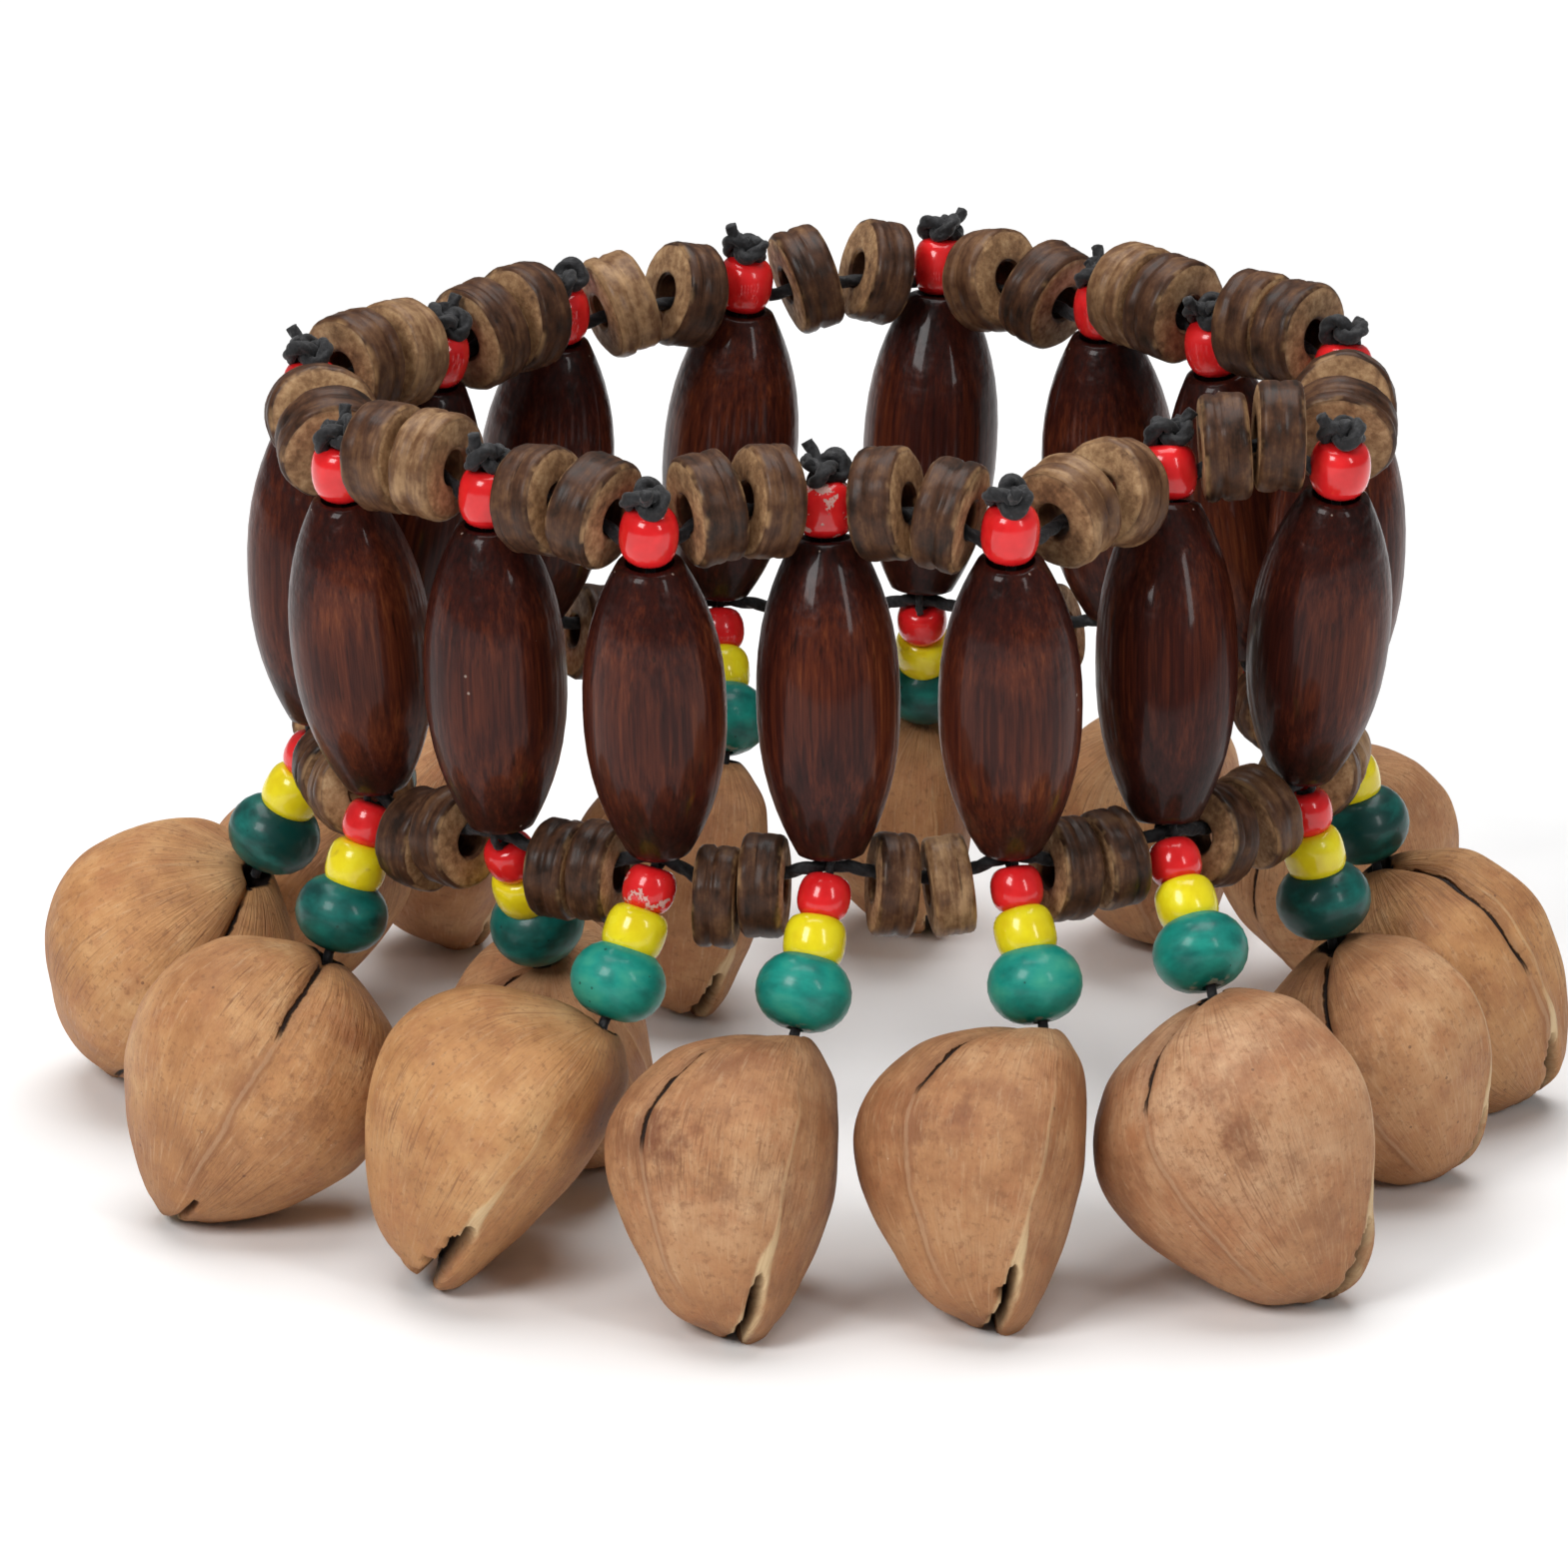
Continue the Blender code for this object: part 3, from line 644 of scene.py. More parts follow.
# How far above the red bead the knot sits and the cord ends, and how far above the lower elastic it starts
KNOT_RISE = 1.6 * MM
CORD_RISE = 0.8 * MM
CORD_START = 2.0 * MM
BORE_BEVEL = 0.15 * MM
BORE_BEVEL_DEPTH = 0.12 * MM
# The strand whose upper red bead is chipped
CHIPPED_UPPER_RED = 4

red_lacquer, tree, shader = new_material(
    "red_lacquer", coat_weight=0.5, coat_roughness=0.06, specular_ior_level=0.3
)
grain = attribute(tree, "grain", "Vector")
clouds = mottle(tree, grain, 420, 3, 0.5)
paint = colours(
    tree, clouds, (0.3, (0.66, 0.01, 0.012)), (0.55, (0.82, 0.018, 0.021)), (0.75, (0.88, 0.03, 0.032))
)
chip_edge = mottle(tree, grain, 520, 4, 0.6)
chipped = fade(tree, attribute(tree, "tone"), 0.78, 0.9)
bare = math_node(tree, "MULTIPLY", fade(tree, chip_edge, 0.56, 0.58), chipped)
paint = paint_over(tree, bare, paint, (0.72, 0.4, 0.36))
tree.links.new(paint, shader.inputs["Base Color"])
dulled = fade(tree, clouds, 0.3, 0.7, 0.14, 0.26)
tree.links.new(weigh(tree, (dulled, 1.0), (bare, 0.4)), shader.inputs["Roughness"])
relief(tree, shader, weigh(tree, (clouds, 0.3), (bare, -1.0)), 0.05 * MM)


def bead_outline(radius, length, hole, end, roundness):
    """A small bead's outline: a flat end, a rounded side, a flat end and the bore."""
    half = length / 2
    outline = [(hole, half - BORE_BEVEL_DEPTH), (hole + BORE_BEVEL, half), (end, half)]
    for step in range(1, 12):
        share = math.cos(math.pi * step / 12)
        bulge = (1 - abs(share) ** roundness) ** (1 / roundness)
        outline.append((end + (radius - end) * bulge, half * share))
    outline += [(end, -half), (hole + BORE_BEVEL, -half), (hole, BORE_BEVEL_DEPTH - half)]
    return outline


red_model = turn_on_lathe("red_model", bead_outline(RED_RADIUS, RED_LENGTH, 0.7 * MM, 1.2 * MM, 2.3), 36)
red_model.data.materials.append(red_lacquer)

knot_loop = []
for step in range(30):
    turn = 2 * math.pi * step / 30
    x = KNOT_WIDTH * (math.sin(turn) + 2 * math.sin(2 * turn)) / 3
    y = KNOT_WIDTH * (math.cos(turn) - 2 * math.cos(2 * turn)) / 3
    knot_loop.append(Vector((x, y, -KNOT_HALF_HEIGHT * math.sin(3 * turn))))

for number, strand in enumerate(strands, 1):
    head = axes(strand["front"], strand["hinge"], strand["axis"], strand["high"])
    red_middle = 0.5 * ELASTIC_RADIUS + RED_LENGTH / 2 - UPPER_RED_DROP
    lean = Matrix.Rotation(hand.uniform(-0.12, 0.12), 4, "X")
    spin = Matrix.Rotation(hand.uniform(0, 6.28), 4, "Z")
    placing = head @ Matrix.Translation((0, 0, red_middle)) @ lean @ spin
    tone = 0.95 if number == CHIPPED_UPPER_RED else hand.uniform(0, 0.7)
    size = [share * hand.uniform(0.96, 1.03) for share in UPPER_RED_SIZE]
    bead = copy_piece(red_model, f"upper_red_bead_{number:02d}", placing, tone, size)
    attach(bead, "band")

    knot_place = head @ Matrix.Translation((0, 0, red_middle + RED_LENGTH / 2 + KNOT_RISE))
    knot_place = knot_place @ Matrix.Rotation(hand.uniform(0, 6.28), 4, "Z")
    knot_place = knot_place @ Matrix.Rotation(hand.uniform(-0.5, 0.5), 4, "X")
    loop = twist_cord("loop", [knot_place @ point for point in knot_loop], KNOT_CORD, True, lay=KNOT_LAY)
    out = hand.uniform(0, 2 * math.pi)
    ends = []
    for turn, length in zip((out, out + hand.uniform(0.5, 1.6)), KNOT_ENDS):
        way = Vector((math.cos(turn), math.sin(turn), 0))
        halfway = 0.4 * length * (way + Vector((0, 0, 0.5)))
        tip = length * (0.75 * way + Vector((0, 0, 0.6)))
        stub = [knot_place @ point for point in (Vector((0, 0, 0)), halfway, tip)]
        ends.append(twist_cord("stub", stub, 0.85 * KNOT_CORD, False, lay=KNOT_LAY))
    knot = join_pieces(f"strand_knot_{number:02d}", loop, *ends)
    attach(knot, "band")

    top = strand["high"] + (red_middle + RED_LENGTH / 2 + CORD_RISE) * strand["axis"]
    bottom = strand["low"] + CORD_START * strand["axis"]
    line = [top, (top + bottom) / 2, bottom]
    cord = twist_cord(f"strand_cord_{number:02d}", line, STRAND_CORD_RADIUS, False)
    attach(cord, "band")


# Bead tails: below the lower elastic the cord is looped round it and threaded with a red, a yellow and a
# green wood bead. Red and yellow are lacquered, the green ones are dyed teal and only lightly polished.
# The cord goes on through the nut's hole and is knotted inside the shell.
RED_TOP = ELASTIC_RADIUS + CLEARANCE
YELLOW_LENGTH = 4.4 * MM
GREEN_RADIUS = 4.8 * MM
GREEN_LENGTH = 6.6 * MM
# How much fuller than their share of the cord the beads are, and how far the green one is pushed up, as each
# is pressed into the next
YELLOW_FULLER = 0.6 * MM
GREEN_FULLER = 1.0 * MM
GREEN_RISE = 0.42 * MM
# How light the dye is on each green bead
GREEN_TONES = (0.25, 0.4, 0.85, 0.7, 0.95, 0.6, 0.1, 0.05, 0.4, 0.6, 0.3, 0.5, 0.4, 0.2, 0.05)
# The strand whose lower red bead is chipped
CHIPPED_LOWER_RED = 3
LOOP_CORD = 0.4 * MM
LOOP_LAY = 1.4 * MM
CORD_IN_NUT = 0.7 * MM

yellow_lacquer, tree, shader = new_material(
    "yellow_lacquer", coat_weight=0.45, coat_roughness=0.07, specular_ior_level=0.3
)
grain = attribute(tree, "grain", "Vector")
clouds = mottle(tree, grain, 380, 3, 0.5)
paint = colours(
    tree, clouds, (0.3, (0.82, 0.64, 0.008)), (0.55, (0.94, 0.8, 0.014)), (0.75, (0.96, 0.86, 0.03))
)
grime = fade(tree, mottle(tree, grain, 900, 3), 0.64, 0.74)
paint = paint_over(tree, grime, paint, (0.45, 0.3, 0.02), 0.35)
tree.links.new(paint, shader.inputs["Base Color"])
tree.links.new(fade(tree, clouds, 0.3, 0.7, 0.16, 0.3), shader.inputs["Roughness"])
relief(tree, shader, clouds, 0.04 * MM)

green_dye, tree, shader = new_material(
    "green_dye", coat_weight=0.25, coat_roughness=0.16, specular_ior_level=0.25
)
grain = attribute(tree, "grain", "Vector")
growth = mottle(tree, grain, 520, 5, 0.6, (0.5, 0.5, 1))
clouds = mottle(tree, grain, 200, 3, 0.5)
paler = fade(tree, attribute(tree, "tone"), 0.0, 1.0, -0.16, 0.16)
dye = colours(
    tree,
    weigh(tree, (growth, 0.55), (clouds, 0.5), (paler, 1.0)),
    (0.34, (0.002, 0.052, 0.045)),
    (0.5, (0.005, 0.15, 0.125)),
    (0.66, (0.01, 0.3, 0.235)),
    (0.84, (0.06, 0.4, 0.27)),
)
nicks = dust(tree, grain, 700, 0.12)
dye = paint_over(tree, nicks, dye, (0.002, 0.035, 0.03), 0.7)
rim = fade(tree, from_axis(tree, grain), 2.7 * MM, 1.6 * MM)
rim_chips = math_node(tree, "MULTIPLY", rim, fade(tree, mottle(tree, grain, 600, 4), 0.52, 0.6))
dye = paint_over(tree, rim_chips, dye, (0.42, 0.45, 0.36))
tree.links.new(dye, shader.inputs["Base Color"])
tree.links.new(fade(tree, growth, 0.3, 0.7, 0.34, 0.52), shader.inputs["Roughness"])
relief(tree, shader, math_node(tree, "SUBTRACT", growth, nicks), 0.08 * MM)

outline = bead_outline(YELLOW_RADIUS, YELLOW_LENGTH + YELLOW_FULLER, 0.8 * MM, 1.5 * MM, 2.6)
yellow_model = turn_on_lathe("yellow_model", outline, 36)
yellow_model.data.materials.append(yellow_lacquer)
outline = bead_outline(GREEN_RADIUS, GREEN_LENGTH + GREEN_FULLER, 0.8 * MM, 1.0 * MM, 2.0)
green_model = turn_on_lathe("green_model", outline, 48)
green_model.data.materials.append(green_dye)

for number, strand in enumerate(strands, 1):
    body = f"tail_{number:02d}"
    way = strand["tail_way"]
    sideways = (strand["hinge"] - strand["hinge"].dot(way) * way).normalized()
    tail = axes(sideways.cross(-way), sideways, -way, strand["low"])
    run = RED_TOP
    tone = 0.97 if number == CHIPPED_LOWER_RED else hand.uniform(0, 0.7)
    for colour, model, length, rise, tone in (
        ("lower_red", red_model, RED_LENGTH, 0, tone),
        ("yellow", yellow_model, YELLOW_LENGTH, 0, hand.uniform()),
        ("green", green_model, GREEN_LENGTH, GREEN_RISE, GREEN_TONES[number - 1]),
    ):
        tilt = 0.02 if model is green_model else 0.08
        lean = Matrix.Rotation(hand.uniform(-tilt, tilt), 4, "X")
        lean = lean @ Matrix.Rotation(hand.uniform(-tilt, tilt), 4, "Y")
        placing = tail @ Matrix.Translation((0, 0, rise - run - length / 2)) @ lean
        placing = placing @ Matrix.Rotation(hand.uniform(0, 6.28), 4, "Z")
        size = hand.uniform(0.96, 0.985, 3) if model is red_model else hand.uniform(0.97, 1.0, 3)
        bead = copy_piece(model, f"{colour}_bead_{number:02d}", placing, tone, size)
        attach(bead, body)
        run += length

    loop_radius = ELASTIC_RADIUS + CLEARANCE + LOOP_CORD
    loop_path = [
        tail @ Vector((loop_radius * math.cos(turn), 0, loop_radius * math.sin(turn)))
        for turn in (2 * math.pi * step / 12 for step in range(12))
    ]
    loop = twist_cord("loop", loop_path, LOOP_CORD, True, lay=LOOP_LAY)
    line_end = strand["nut_hole"] + CORD_IN_NUT * way
    line_top = strand["low"] + loop_radius * way
    line = twist_cord("line", [line_top, (line_top + line_end) / 2, line_end], STRAND_CORD_RADIUS, False)
    cord = join_pieces(f"tail_cord_{number:02d}", loop, line)
    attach(cord, body)
    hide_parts(f"bead_tail_{number:02d}")
for model in (red_model, yellow_model, green_model):
    bpy.data.objects.remove(model, do_unlink=True)


# Nut shells: the dry hollow stones of a wild fruit, drilled on top and strung whole so that they rattle.
# Two woody valves meet in a seam that is cracked near the cord hole, stands up as a pale keel on the other
# side and gapes in a torn slit at the tip. The bare shell is matt, fibrous and blotched, each its own tan.
NUT_LENGTH = 31.0 * MM
NUT_HALF_ACROSS = 14.6 * MM
NUT_BELLY = 17.4 * MM
NUT_BACK = 6.4 * MM
NUT_FULLNESS = 2.3
NUT_HOLE = 1.75 * MM
NUT_COLUMNS = 176
NUT_RINGS = 112
# Share of the length, then how full the nut is across, on its belly and on its back
NUT_FORM = (
    (0.07, 0.00, 0.00, 0.00),
    (0.02, 0.07, 0.06, 0.17),
    (0.00, 0.12, 0.11, 0.28),
    (0.05, 0.42, 0.42, 0.52),
    (0.15, 0.78, 0.76, 0.84),
    (0.36, 1.00, 0.98, 1.00),
    (0.58, 0.95, 0.92, 0.97),
    (0.82, 0.66, 0.64, 0.78),
    (0.97, 0.30, 0.37, 0.50),
    (1.01, 0.00, 0.00, 0.00),
)
# Compass direction and lean of the tip, compass direction of the belly, size; then the directions that the
# keel and the crack face, how far down the crack ends and the open slit starts, the slit's half width in
# millimetres, and how warm the tan is and how blotched, each from 0 to 1
NUTS = (
    (218, 40, 266, 0.96, 92, 260, 0.36, 0.88, 0.25, 0.75, 0.55),
    (52, 28, 180, 0.88, 330, 190, 0.40, 0.80, 0.7, 0.40, 0.6),
    (196, 37, 165, 0.98, 274, 110, 0.40, 0.73, 1.25, 0.95, 0.2),
    (250, 33, 167, 0.96, 280, 214, 0.52, 0.83, 0.55, 0.30, 1.0),
    (252, 34, 177, 0.96, 280, 222, 0.34, 0.85, 0.8, 0.35, 0.65),
    (310, 33, 217, 1.01, 318, 232, 0.30, 0.84, 0.8, 0.10, 0.85),
    (335, 29, 238, 0.84, 330, 252, 0.30, 0.82, 0.8, 0.45, 0.4),
    (339, 37, 240, 0.92, 312, 306, 0.60, 0.84, 0.9, 0.85, 0.3),
    (40, 15, 120, 0.88, 20, 210, 0.50, 0.80, 0.7, 0.40, 0.5),
    (60, 14, 150, 0.86, 70, 250, 0.40, 0.84, 0.6, 0.50, 0.7),
    (89, 6, 173, 0.82, 275, 95, 0.50, 0.80, 0.7, 0.60, 0.3),
    (240, 17, 193, 0.87, 290, 200, 0.40, 0.80, 0.8, 0.50, 0.5),
    (125, 15, 176, 0.87, 300, 150, 0.45, 0.78, 0.8, 0.40, 0.6),
    (160, 27, 142, 0.82, 110, 280, 0.50, 0.82, 0.6, 0.70, 0.5),
    (149, 38, 213, 0.96, 110, 262, 0.92, 0.86, 0.5, 0.90, 0.15),
)

nut_tan, tree, shader = new_material("nut_tan", specular_ior_level=0.25)
grain = attribute(tree, "grain", "Vector")
lay = attribute(tree, "lay", "Vector")
broad = mottle(tree, grain, 75, 3, 0.5)
patchy = mottle(tree, grain, 320, 5, 0.65)
speckle = mottle(tree, grain, 1500, 3, 0.6)
fibres = mottle(tree, lay, 3.0, 5, 0.65, (1, 1, 0.2))
threads = mottle(tree, lay, 7.0, 4, 0.6, (1, 1, 0.05))
wrinkles = mottle(tree, lay, 2.2, 3, 0.5, (1, 1, 0.5))
mixed = weigh(tree, (broad, 0.55), (patchy, 0.45))
pink = colours(
    tree, mixed, (0.36, (0.33, 0.145, 0.07)), (0.5, (0.48, 0.25, 0.128)), (0.64, (0.6, 0.365, 0.215))
)
gold = colours(
    tree, mixed, (0.36, (0.38, 0.165, 0.06)), (0.5, (0.55, 0.275, 0.108)), (0.64, (0.66, 0.385, 0.175))
)
shell = paint_over(tree, attribute(tree, "warm"), pink, gold)
shell = paint_over(tree, attribute(tree, "tip"), shell, (0.42, 0.2, 0.085))
ruddy = mottle(tree, grain, 190, 5, 0.7)
shell = paint_over(tree, fade(tree, ruddy, 0.46, 0.68, 0.0, 0.55), shell, (0.4, 0.155, 0.065))
blotched = attribute(tree, "blotch")
stains = fade(tree, mottle(tree, grain, 125, 5, 0.7), 0.47, 0.64, 0.0, 0.85)
shell = paint_over(tree, stains, shell, (0.23, 0.088, 0.042), blotched)
smudges = fade(tree, mottle(tree, grain, 700, 5, 0.75), 0.5, 0.66, 0.0, 0.65)
shell = paint_over(tree, smudges, shell, (0.27, 0.125, 0.062), blotched)
shell = paint_over(tree, fade(tree, fibres, 0.5, 0.74, 0.0, 0.4), shell, (0.68, 0.46, 0.27))
combed = fade(tree, attribute(tree, "combed"), 0.0, 1.0, 0.2, 1.0)
shell = paint_over(tree, fade(tree, threads, 0.51, 0.68, 0.0, 0.75), shell, (0.23, 0.098, 0.045), combed)
shell = paint_over(tree, fade(tree, speckle, 0.54, 0.68, 0.0, 0.5), shell, (0.25, 0.11, 0.05))
shell = paint_over(tree, dust(tree, grain, 420, 0.07), shell, (0.1, 0.045, 0.03), 0.6)
shell = paint_over(tree, dust(tree, lay, 0.7, 0.04), shell, (0.78, 0.64, 0.5), 0.4)
wander = math_node(tree, "MULTIPLY", math_node(tree, "SUBTRACT", patchy, 0.5), 1.1)
off_keel = math_node(tree, "ABSOLUTE", math_node(tree, "ADD", attribute(tree, "off_keel"), wander))
keel = math_node(tree, "MULTIPLY", fade(tree, off_keel, 1.1, 0.5), attribute(tree, "keel"))
torn = math_node(tree, "MULTIPLY", keel, fade(tree, threads, 0.35, 0.55, 0.6, 1.0))
shell = paint_over(tree, torn, shell, (0.72, 0.53, 0.3))
off_crack = math_node(tree, "ABSOLUTE", math_node(tree, "ADD", attribute(tree, "off_crack"), wander))
crack = math_node(tree, "MULTIPLY", fade(tree, off_crack, 0.3, 0.12), attribute(tree, "crack"))
seam = attribute(tree, "seam")
shell = paint_over(tree, fade(tree, off_crack, 0.9, 0.4, 0.0, 0.45), shell, (0.27, 0.11, 0.05), seam)
shell = paint_over(tree, fade(tree, off_crack, 0.34, 0.14, 0.0, 0.32), shell, (0.58, 0.38, 0.23), seam)
crack_side = fade(tree, attribute(tree, "crack"), 0.0, 1.0, 0.0, 0.45)
shell = paint_over(tree, fade(tree, off_crack, 1.3, 0.2), shell, (0.2, 0.085, 0.04), crack_side)
# Painted shade: the crack line is painted near black, for the shade down in the split.
shell = paint_over(tree, crack, shell, (0.018, 0.008, 0.005))
# Painted shade: the open slit and the cord hole are painted near black, for the dark hollow inside the
# shell.
shell = paint_over(tree, attribute(tree, "painted_shade"), shell, (0.012, 0.006, 0.004))
tree.links.new(shell, shader.inputs["Base Color"])
tree.links.new(fade(tree, patchy, 0.3, 0.7, 0.5, 0.68), shader.inputs["Roughness"])
rough = weigh(
    tree,
    (fibres, 0.6),
    (patchy, 0.45),
    (math_node(tree, "MULTIPLY", threads, combed), 0.7),
    (math_node(tree, "MULTIPLY", wrinkles, combed), 1.1),
    (speckle, 0.15),
    (keel, 0.6),
    (crack, -2.5),
)
relief(tree, shader, rough, 0.24 * MM)


def nut_stations(count):
    """The nut's form at evenly spaced stations from the cord hole to the tip."""
    form = np.array(NUT_FORM)
    fine = np.maximum(curve_through(np.vstack([form[0], form, form[-1]]), 20), 0)
    steps = np.hypot(np.diff(fine[:, 0]) * NUT_LENGTH, np.diff(fine[:, 1]) * NUT_HALF_ACROSS)
    return spread_evenly(fine, run_along(steps), count)


def near(distance, width):
    """A soft hump round a line, 1 on it and gone a couple of widths away."""
    return np.exp(-((distance / width) ** 2))


def rising(value, start, end):
    """0 up to start, 1 from end, smooth between."""
    share = np.clip((value - start) / (end - start), 0, 1)
    return share * share * (3 - 2 * share)


def unevenness(places, scale, seed):
    """Smooth random heights at the given places, scale counting their lumps in a metre."""
    shift = Vector((seed * 7.3, seed * 3.1, seed * 5.7))
    return np.array([noise.noise(Vector(place) * scale + shift) for place in places])


bpy.ops.object.select_all(action="DESELECT")
bpy.ops.mesh.primitive_uv_sphere_add(segments=NUT_COLUMNS, ring_count=NUT_RINGS)
bpy.ops.object.shade_smooth()
nut_model = bpy.context.object
nut_model.data.materials.append(nut_tan)


def carve_nut(number, placing, size, keel_turn, crack_turn, crack_end, slit_start, slit, warm, blotch):
    """One nut shell with its keel, crack, slit and dents, at its place and worn flat where it rests."""
    nut = nut_model.copy()
    nut.data = nut_model.data.copy()
    bpy.context.collection.objects.link(nut)
    mesh = nut.data
    count = len(mesh.vertices)
    places = np.empty(count * 3)
    mesh.vertices.foreach_get("co", places)
    places = places.reshape(-1, 3)
    station = np.rint(np.arccos(np.clip(places[:, 2], -1, 1)) / math.pi * NUT_RINGS).astype(int)
    around = np.arctan2(places[:, 1], places[:, 0])
    share, across, belly, back = nut_stations(NUT_RINGS + 1)[station].T
    cosine, sine = np.cos(around), np.sin(around)
    half_across = np.maximum(across * NUT_HALF_ACROSS, 1e-6)
    half_along = np.maximum(np.where(sine > 0, belly * NUT_BELLY, back * NUT_BACK), 1e-6)
    reach = np.abs(cosine / half_across) ** NUT_FULLNESS + np.abs(sine / half_along) ** NUT_FULLNESS
    reach = np.where(across > 0, reach ** (-1 / NUT_FULLNESS), 0) * size
    placed = np.stack([reach * cosine, reach * sine, -share * NUT_LENGTH * size], 1)
    mesh.vertices.foreach_set("co", placed.ravel())
    mesh.update()
    normals = np.empty(count * 3)
    mesh.vertices.foreach_get("normal", normals)
    normals = normals.reshape(-1, 3)

    # How far each point is from the lines of the keel and the crack, which wander a little
    line = np.linspace(0, 1, NUT_RINGS + 1)
    jagged = np.array([noise.noise(Vector((9 * place, number * 3.7, 0))) for place in line])[station]
    off_keel = reach * np.sin(around - keel_turn) + 0.5 * MM * jagged * rising(share, 0.1, 0.3)
    by_keel = rising(np.cos(around - keel_turn), 0.0, 0.15)
    off_crack = reach * np.sin(around - crack_turn) + 0.5 * MM * jagged * rising(share, 0.1, 0.3)
    by_crack = rising(np.cos(around - crack_turn), 0.0, 0.15)
    in_hole = (station < NUT_RINGS // 4) & (reach < NUT_HOLE)

    # Where the slit, keel, crack and seam are, and how far they push the surface out or in, in millimetres
    torn_edge = np.array([noise.noise(Vector((34 * place, number * 5.1, 2))) for place in line])[station]
    slit_half = slit * MM * np.sin(np.pi * np.clip((share - slit_start) / (1.08 - slit_start), 0, 1)) ** 0.5
    slit_half = slit_half * np.where(off_keel < 0, 1 + 1.3 * torn_edge, 0.8)
    by_slit = np.maximum(by_keel, rising(share, 0.95, 0.98))
    gape = rising(np.abs(off_keel), slit_half + 0.25 * MM, 0.4 * slit_half) * by_slit * (share > slit_start)
    lips = near(np.abs(off_keel) - slit_half - 0.7 * MM, 0.75 * MM) * by_slit
    lips *= rising(share, slit_start - 0.08, slit_start + 0.1)
    overlap = near(off_keel - slit_half - 1.4 * MM, 1.7 * MM) * (off_keel > 0) * by_slit
    overlap *= rising(share, 0.75, 0.95)
    keel = near(off_keel, 0.9 * MM) * by_keel * rising(share, 0.12, 0.4)
    keel *= 1 - rising(share, slit_start - 0.08, slit_start)
    gutter = near(off_keel - 1.9 * MM, 0.8 * MM) * by_keel * rising(share, 0.15, 0.4)
    crack = near(off_crack, 0.4 * MM) * by_crack * (1 - rising(share, crack_end - 0.1, crack_end))
    crevice = near(off_crack, 1.5 * MM) * by_crack * (1 - rising(share, 0.06, 0.9 * crack_end))
    seam = near(off_crack, 0.45 * MM) * by_crack * rising(share, crack_end, crack_end + 0.1)
    seam *= 1 - rising(share, 0.85, 0.97)
    valley = near(off_crack, 4.5 * MM) * by_crack * rising(share, 0.05, 0.2) * (1 - rising(share, 0.6, 0.95))
    body = rising(share, 0.03, 0.2)
    push = (0.5 * unevenness(placed, 75, number) + 0.16 * unevenness(placed, 240, number) - 0.35) * body
    push += 0.3 * keel + 0.2 * seam + 0.3 * lips + 0.55 * overlap
    push -= 0.2 * gutter + 0.5 * crack + 0.75 * crevice + 0.4 * valley + 3.2 * gape
    placed = placed + MM * push[:, None] * normals

    # What the material reads
    combed = near(off_keel - 5 * MM, 3.5 * MM) * by_keel + 0.6 * (1 - rising(share, 0.1, 0.35))
    combed += rising(unevenness(placed, 90, number + 40), 0.0, 0.5)
    keel_width = MM * (0.22 + 0.75 * rising(share, slit_start - 0.2, slit_start + 0.02))
    stain = near(reach * np.sin(around - crack_turn - 0.3), 4.5 * MM) * by_crack * near(share - 0.46, 0.15)
    pale = 0.3 * rising(share, 0.12, 0.4) + 0.65 * rising(share, slit_start - 0.2, slit_start - 0.05)
    cracked = rising(share, 0.01, 0.03) * (1 - rising(share, crack_end - 0.06, crack_end + 0.02))
    closed = rising(share, crack_end - 0.04, crack_end + 0.06) * (1 - rising(share, 0.85, 0.97))
    values = {
        "off_keel": off_keel / keel_width,
        "off_crack": off_crack / MM,
        "keel": by_keel * pale * (1 - gape),
        "crack": by_crack * cracked,
        "seam": by_crack * closed,
        # Painted shade where the slit gapes and round the cord hole
        "painted_shade": np.clip(np.maximum(1.5 * gape, in_hole), 0, 1),
        "tip": 0.5 * rising(share, 0.55, 1.0),
        "combed": np.clip(combed, 0, 1),
        "warm": np.full(count, warm),
        "blotch": np.clip(blotch * (0.6 + 1.2 * stain), 0, 1.2),
    }
    for name, value in values.items():
        mesh.attributes.new(name, "FLOAT", "POINT").data.foreach_set("value", value.astype(np.float32))
    lay = np.stack([10 * cosine, 10 * sine, 20 * share], 1)
    lays = mesh.attributes.new("lay", "FLOAT_VECTOR", "POINT")
    lays.data.foreach_set("vector", lay.astype(np.float32).ravel())
    mesh.vertices.foreach_set("co", placed.ravel())
    give_grain(mesh, 0.06 * number)
    mesh.transform(placing)
    for vertex in mesh.vertices:
        vertex.co.z = max(vertex.co.z, 0)
    return nut


for number, (strand, nut_row) in enumerate(zip(strands, NUTS), 1):
    heading, lean, belly_heading, size, keel_faces, crack_faces, *look = nut_row
    tip = math.radians(heading)
    tilt = math.radians(lean)
    up = Vector((-math.sin(tilt) * math.cos(tip), -math.sin(tilt) * math.sin(tip), math.cos(tilt)))
    belly = Vector((math.cos(math.radians(belly_heading)), math.sin(math.radians(belly_heading)), 0))
    across = belly.cross(up).normalized()
    placing = axes(across, up.cross(across), up, strand["nut_hole"])
    keel_turn = math.radians(keel_faces - belly_heading + 90)
    crack_turn = math.radians(crack_faces - belly_heading + 90)
    nut = carve_nut(number, placing, size, keel_turn, crack_turn, *look)
    nut.name = f"whole_nut_{number:02d}"
    nut.data.name = nut.name
    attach(nut, f"nut_{number:02d}")
    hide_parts(f"nut_shell_{number:02d}")
bpy.data.objects.remove(nut_model, do_unlink=True)


# Floor, light and camera: a plain white paper floor with soft light from all round, a soft box on the left
# and a narrow one on the right in front, and a wide one overhead.
# The camera stands a metre away, twenty degrees above the table.
WORLD_LIGHT = 0.17
CAMERA_TARGET = Vector((-0.0019, -0.0040, 0.0371))
CAMERA_DISTANCE = 1.0
CAMERA_ELEVATION = math.radians(20)
CAMERA_LENS = 228.8

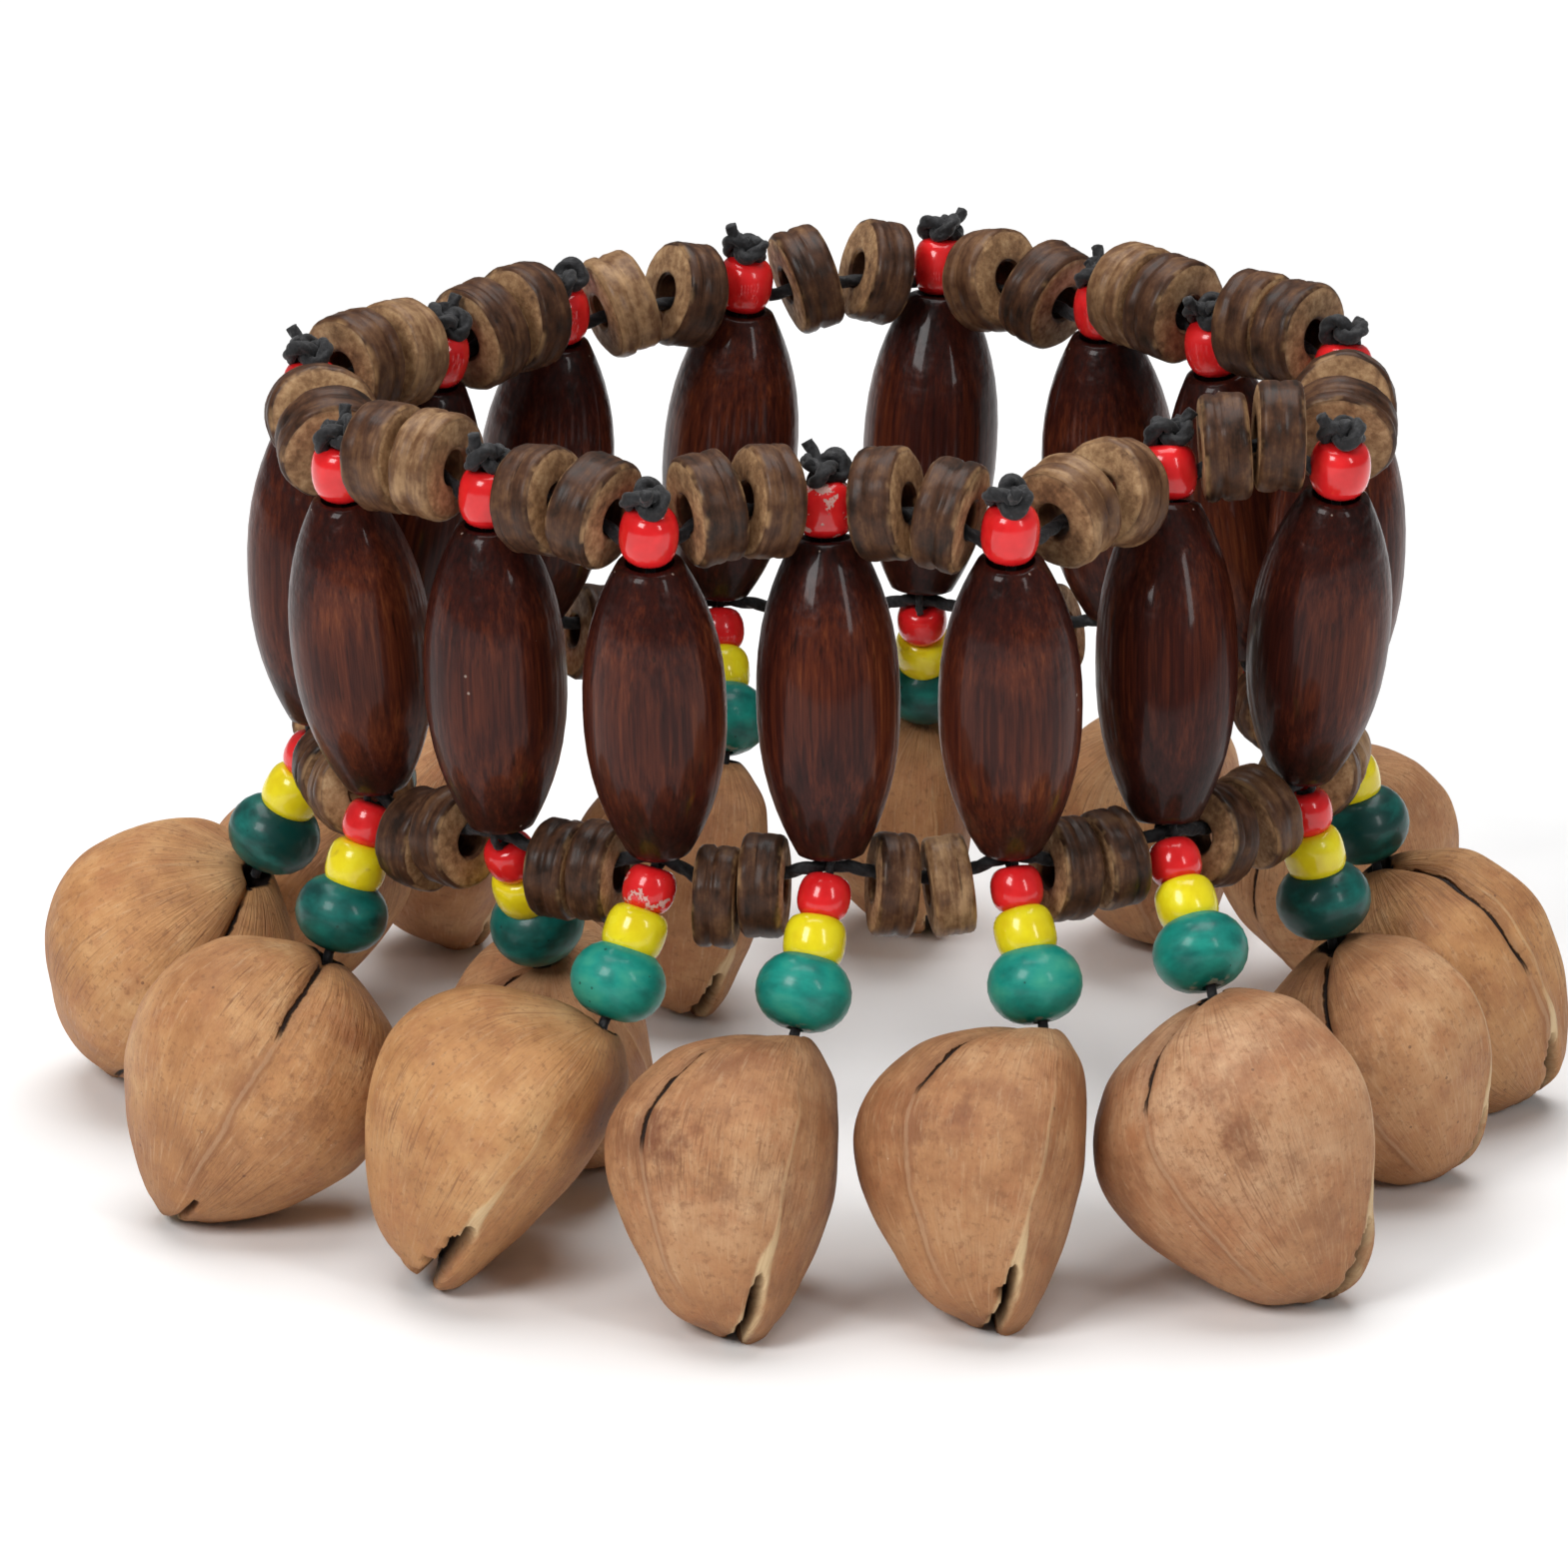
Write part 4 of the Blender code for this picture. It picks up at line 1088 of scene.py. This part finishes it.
bpy.ops.object.select_all(action="DESELECT")
bpy.ops.mesh.primitive_plane_add(size=6)
floor = bpy.context.object
floor.name = "studio_floor"
white_paper, tree, shader = new_material("white_paper", roughness=0.9, specular_ior_level=0.1)
paper = add_node(tree, "TexNoise", vector=add_node(tree, "TexCoord").outputs["Object"], scale=60.0)
white = colours(tree, paper.outputs[0], (0.3, (0.93, 0.93, 0.93)), (0.7, (0.96, 0.96, 0.96)))
tree.links.new(white, shader.inputs["Base Color"])
floor.data.materials.append(white_paper)

world = bpy.data.worlds.new("studio")
world.use_nodes = True
sky = world.node_tree.nodes["Background"]
sky.inputs["Color"].default_value = (1, 1, 1, 1)
sky.inputs["Strength"].default_value = WORLD_LIGHT
bpy.context.scene.world = world


def soft_box(name, place, target, wide, high, power):
    """A soft box at a place, turned towards a target."""
    light = bpy.data.lights.new(name, "AREA")
    light.shape = "RECTANGLE"
    light.size = wide
    light.size_y = high
    light.energy = power
    lamp = bpy.data.objects.new(name, light)
    bpy.context.collection.objects.link(lamp)
    lamp.location = place
    lamp.rotation_euler = (Vector(target) - Vector(place)).to_track_quat("-Z", "Y").to_euler()


soft_box("left_soft_box", (-0.55, -0.65, 0.75), (0, 0, 0.04), wide=0.4, high=0.45, power=6.2)
soft_box("right_soft_box", (0.65, -0.7, 0.6), (0, 0, 0.04), wide=0.15, high=0.5, power=2.0)
soft_box("top_soft_box", (0.0, 0.28, 1.15), (0, 0.15, 0), wide=1.0, high=1.0, power=13)

camera_data = bpy.data.cameras.new("camera")
camera_data.lens = CAMERA_LENS
camera_data.sensor_width = 36
camera_data.clip_start = 0.01
camera_data.clip_end = 20
camera = bpy.data.objects.new("camera", camera_data)
bpy.context.collection.objects.link(camera)
camera_way = Vector((0, -math.cos(CAMERA_ELEVATION), math.sin(CAMERA_ELEVATION)))
camera.location = CAMERA_TARGET + CAMERA_DISTANCE * camera_way
camera.rotation_euler = (CAMERA_TARGET - camera.location).to_track_quat("-Z", "Y").to_euler()
bpy.context.scene.camera = camera
bpy.context.scene.view_settings.view_transform = "Standard"
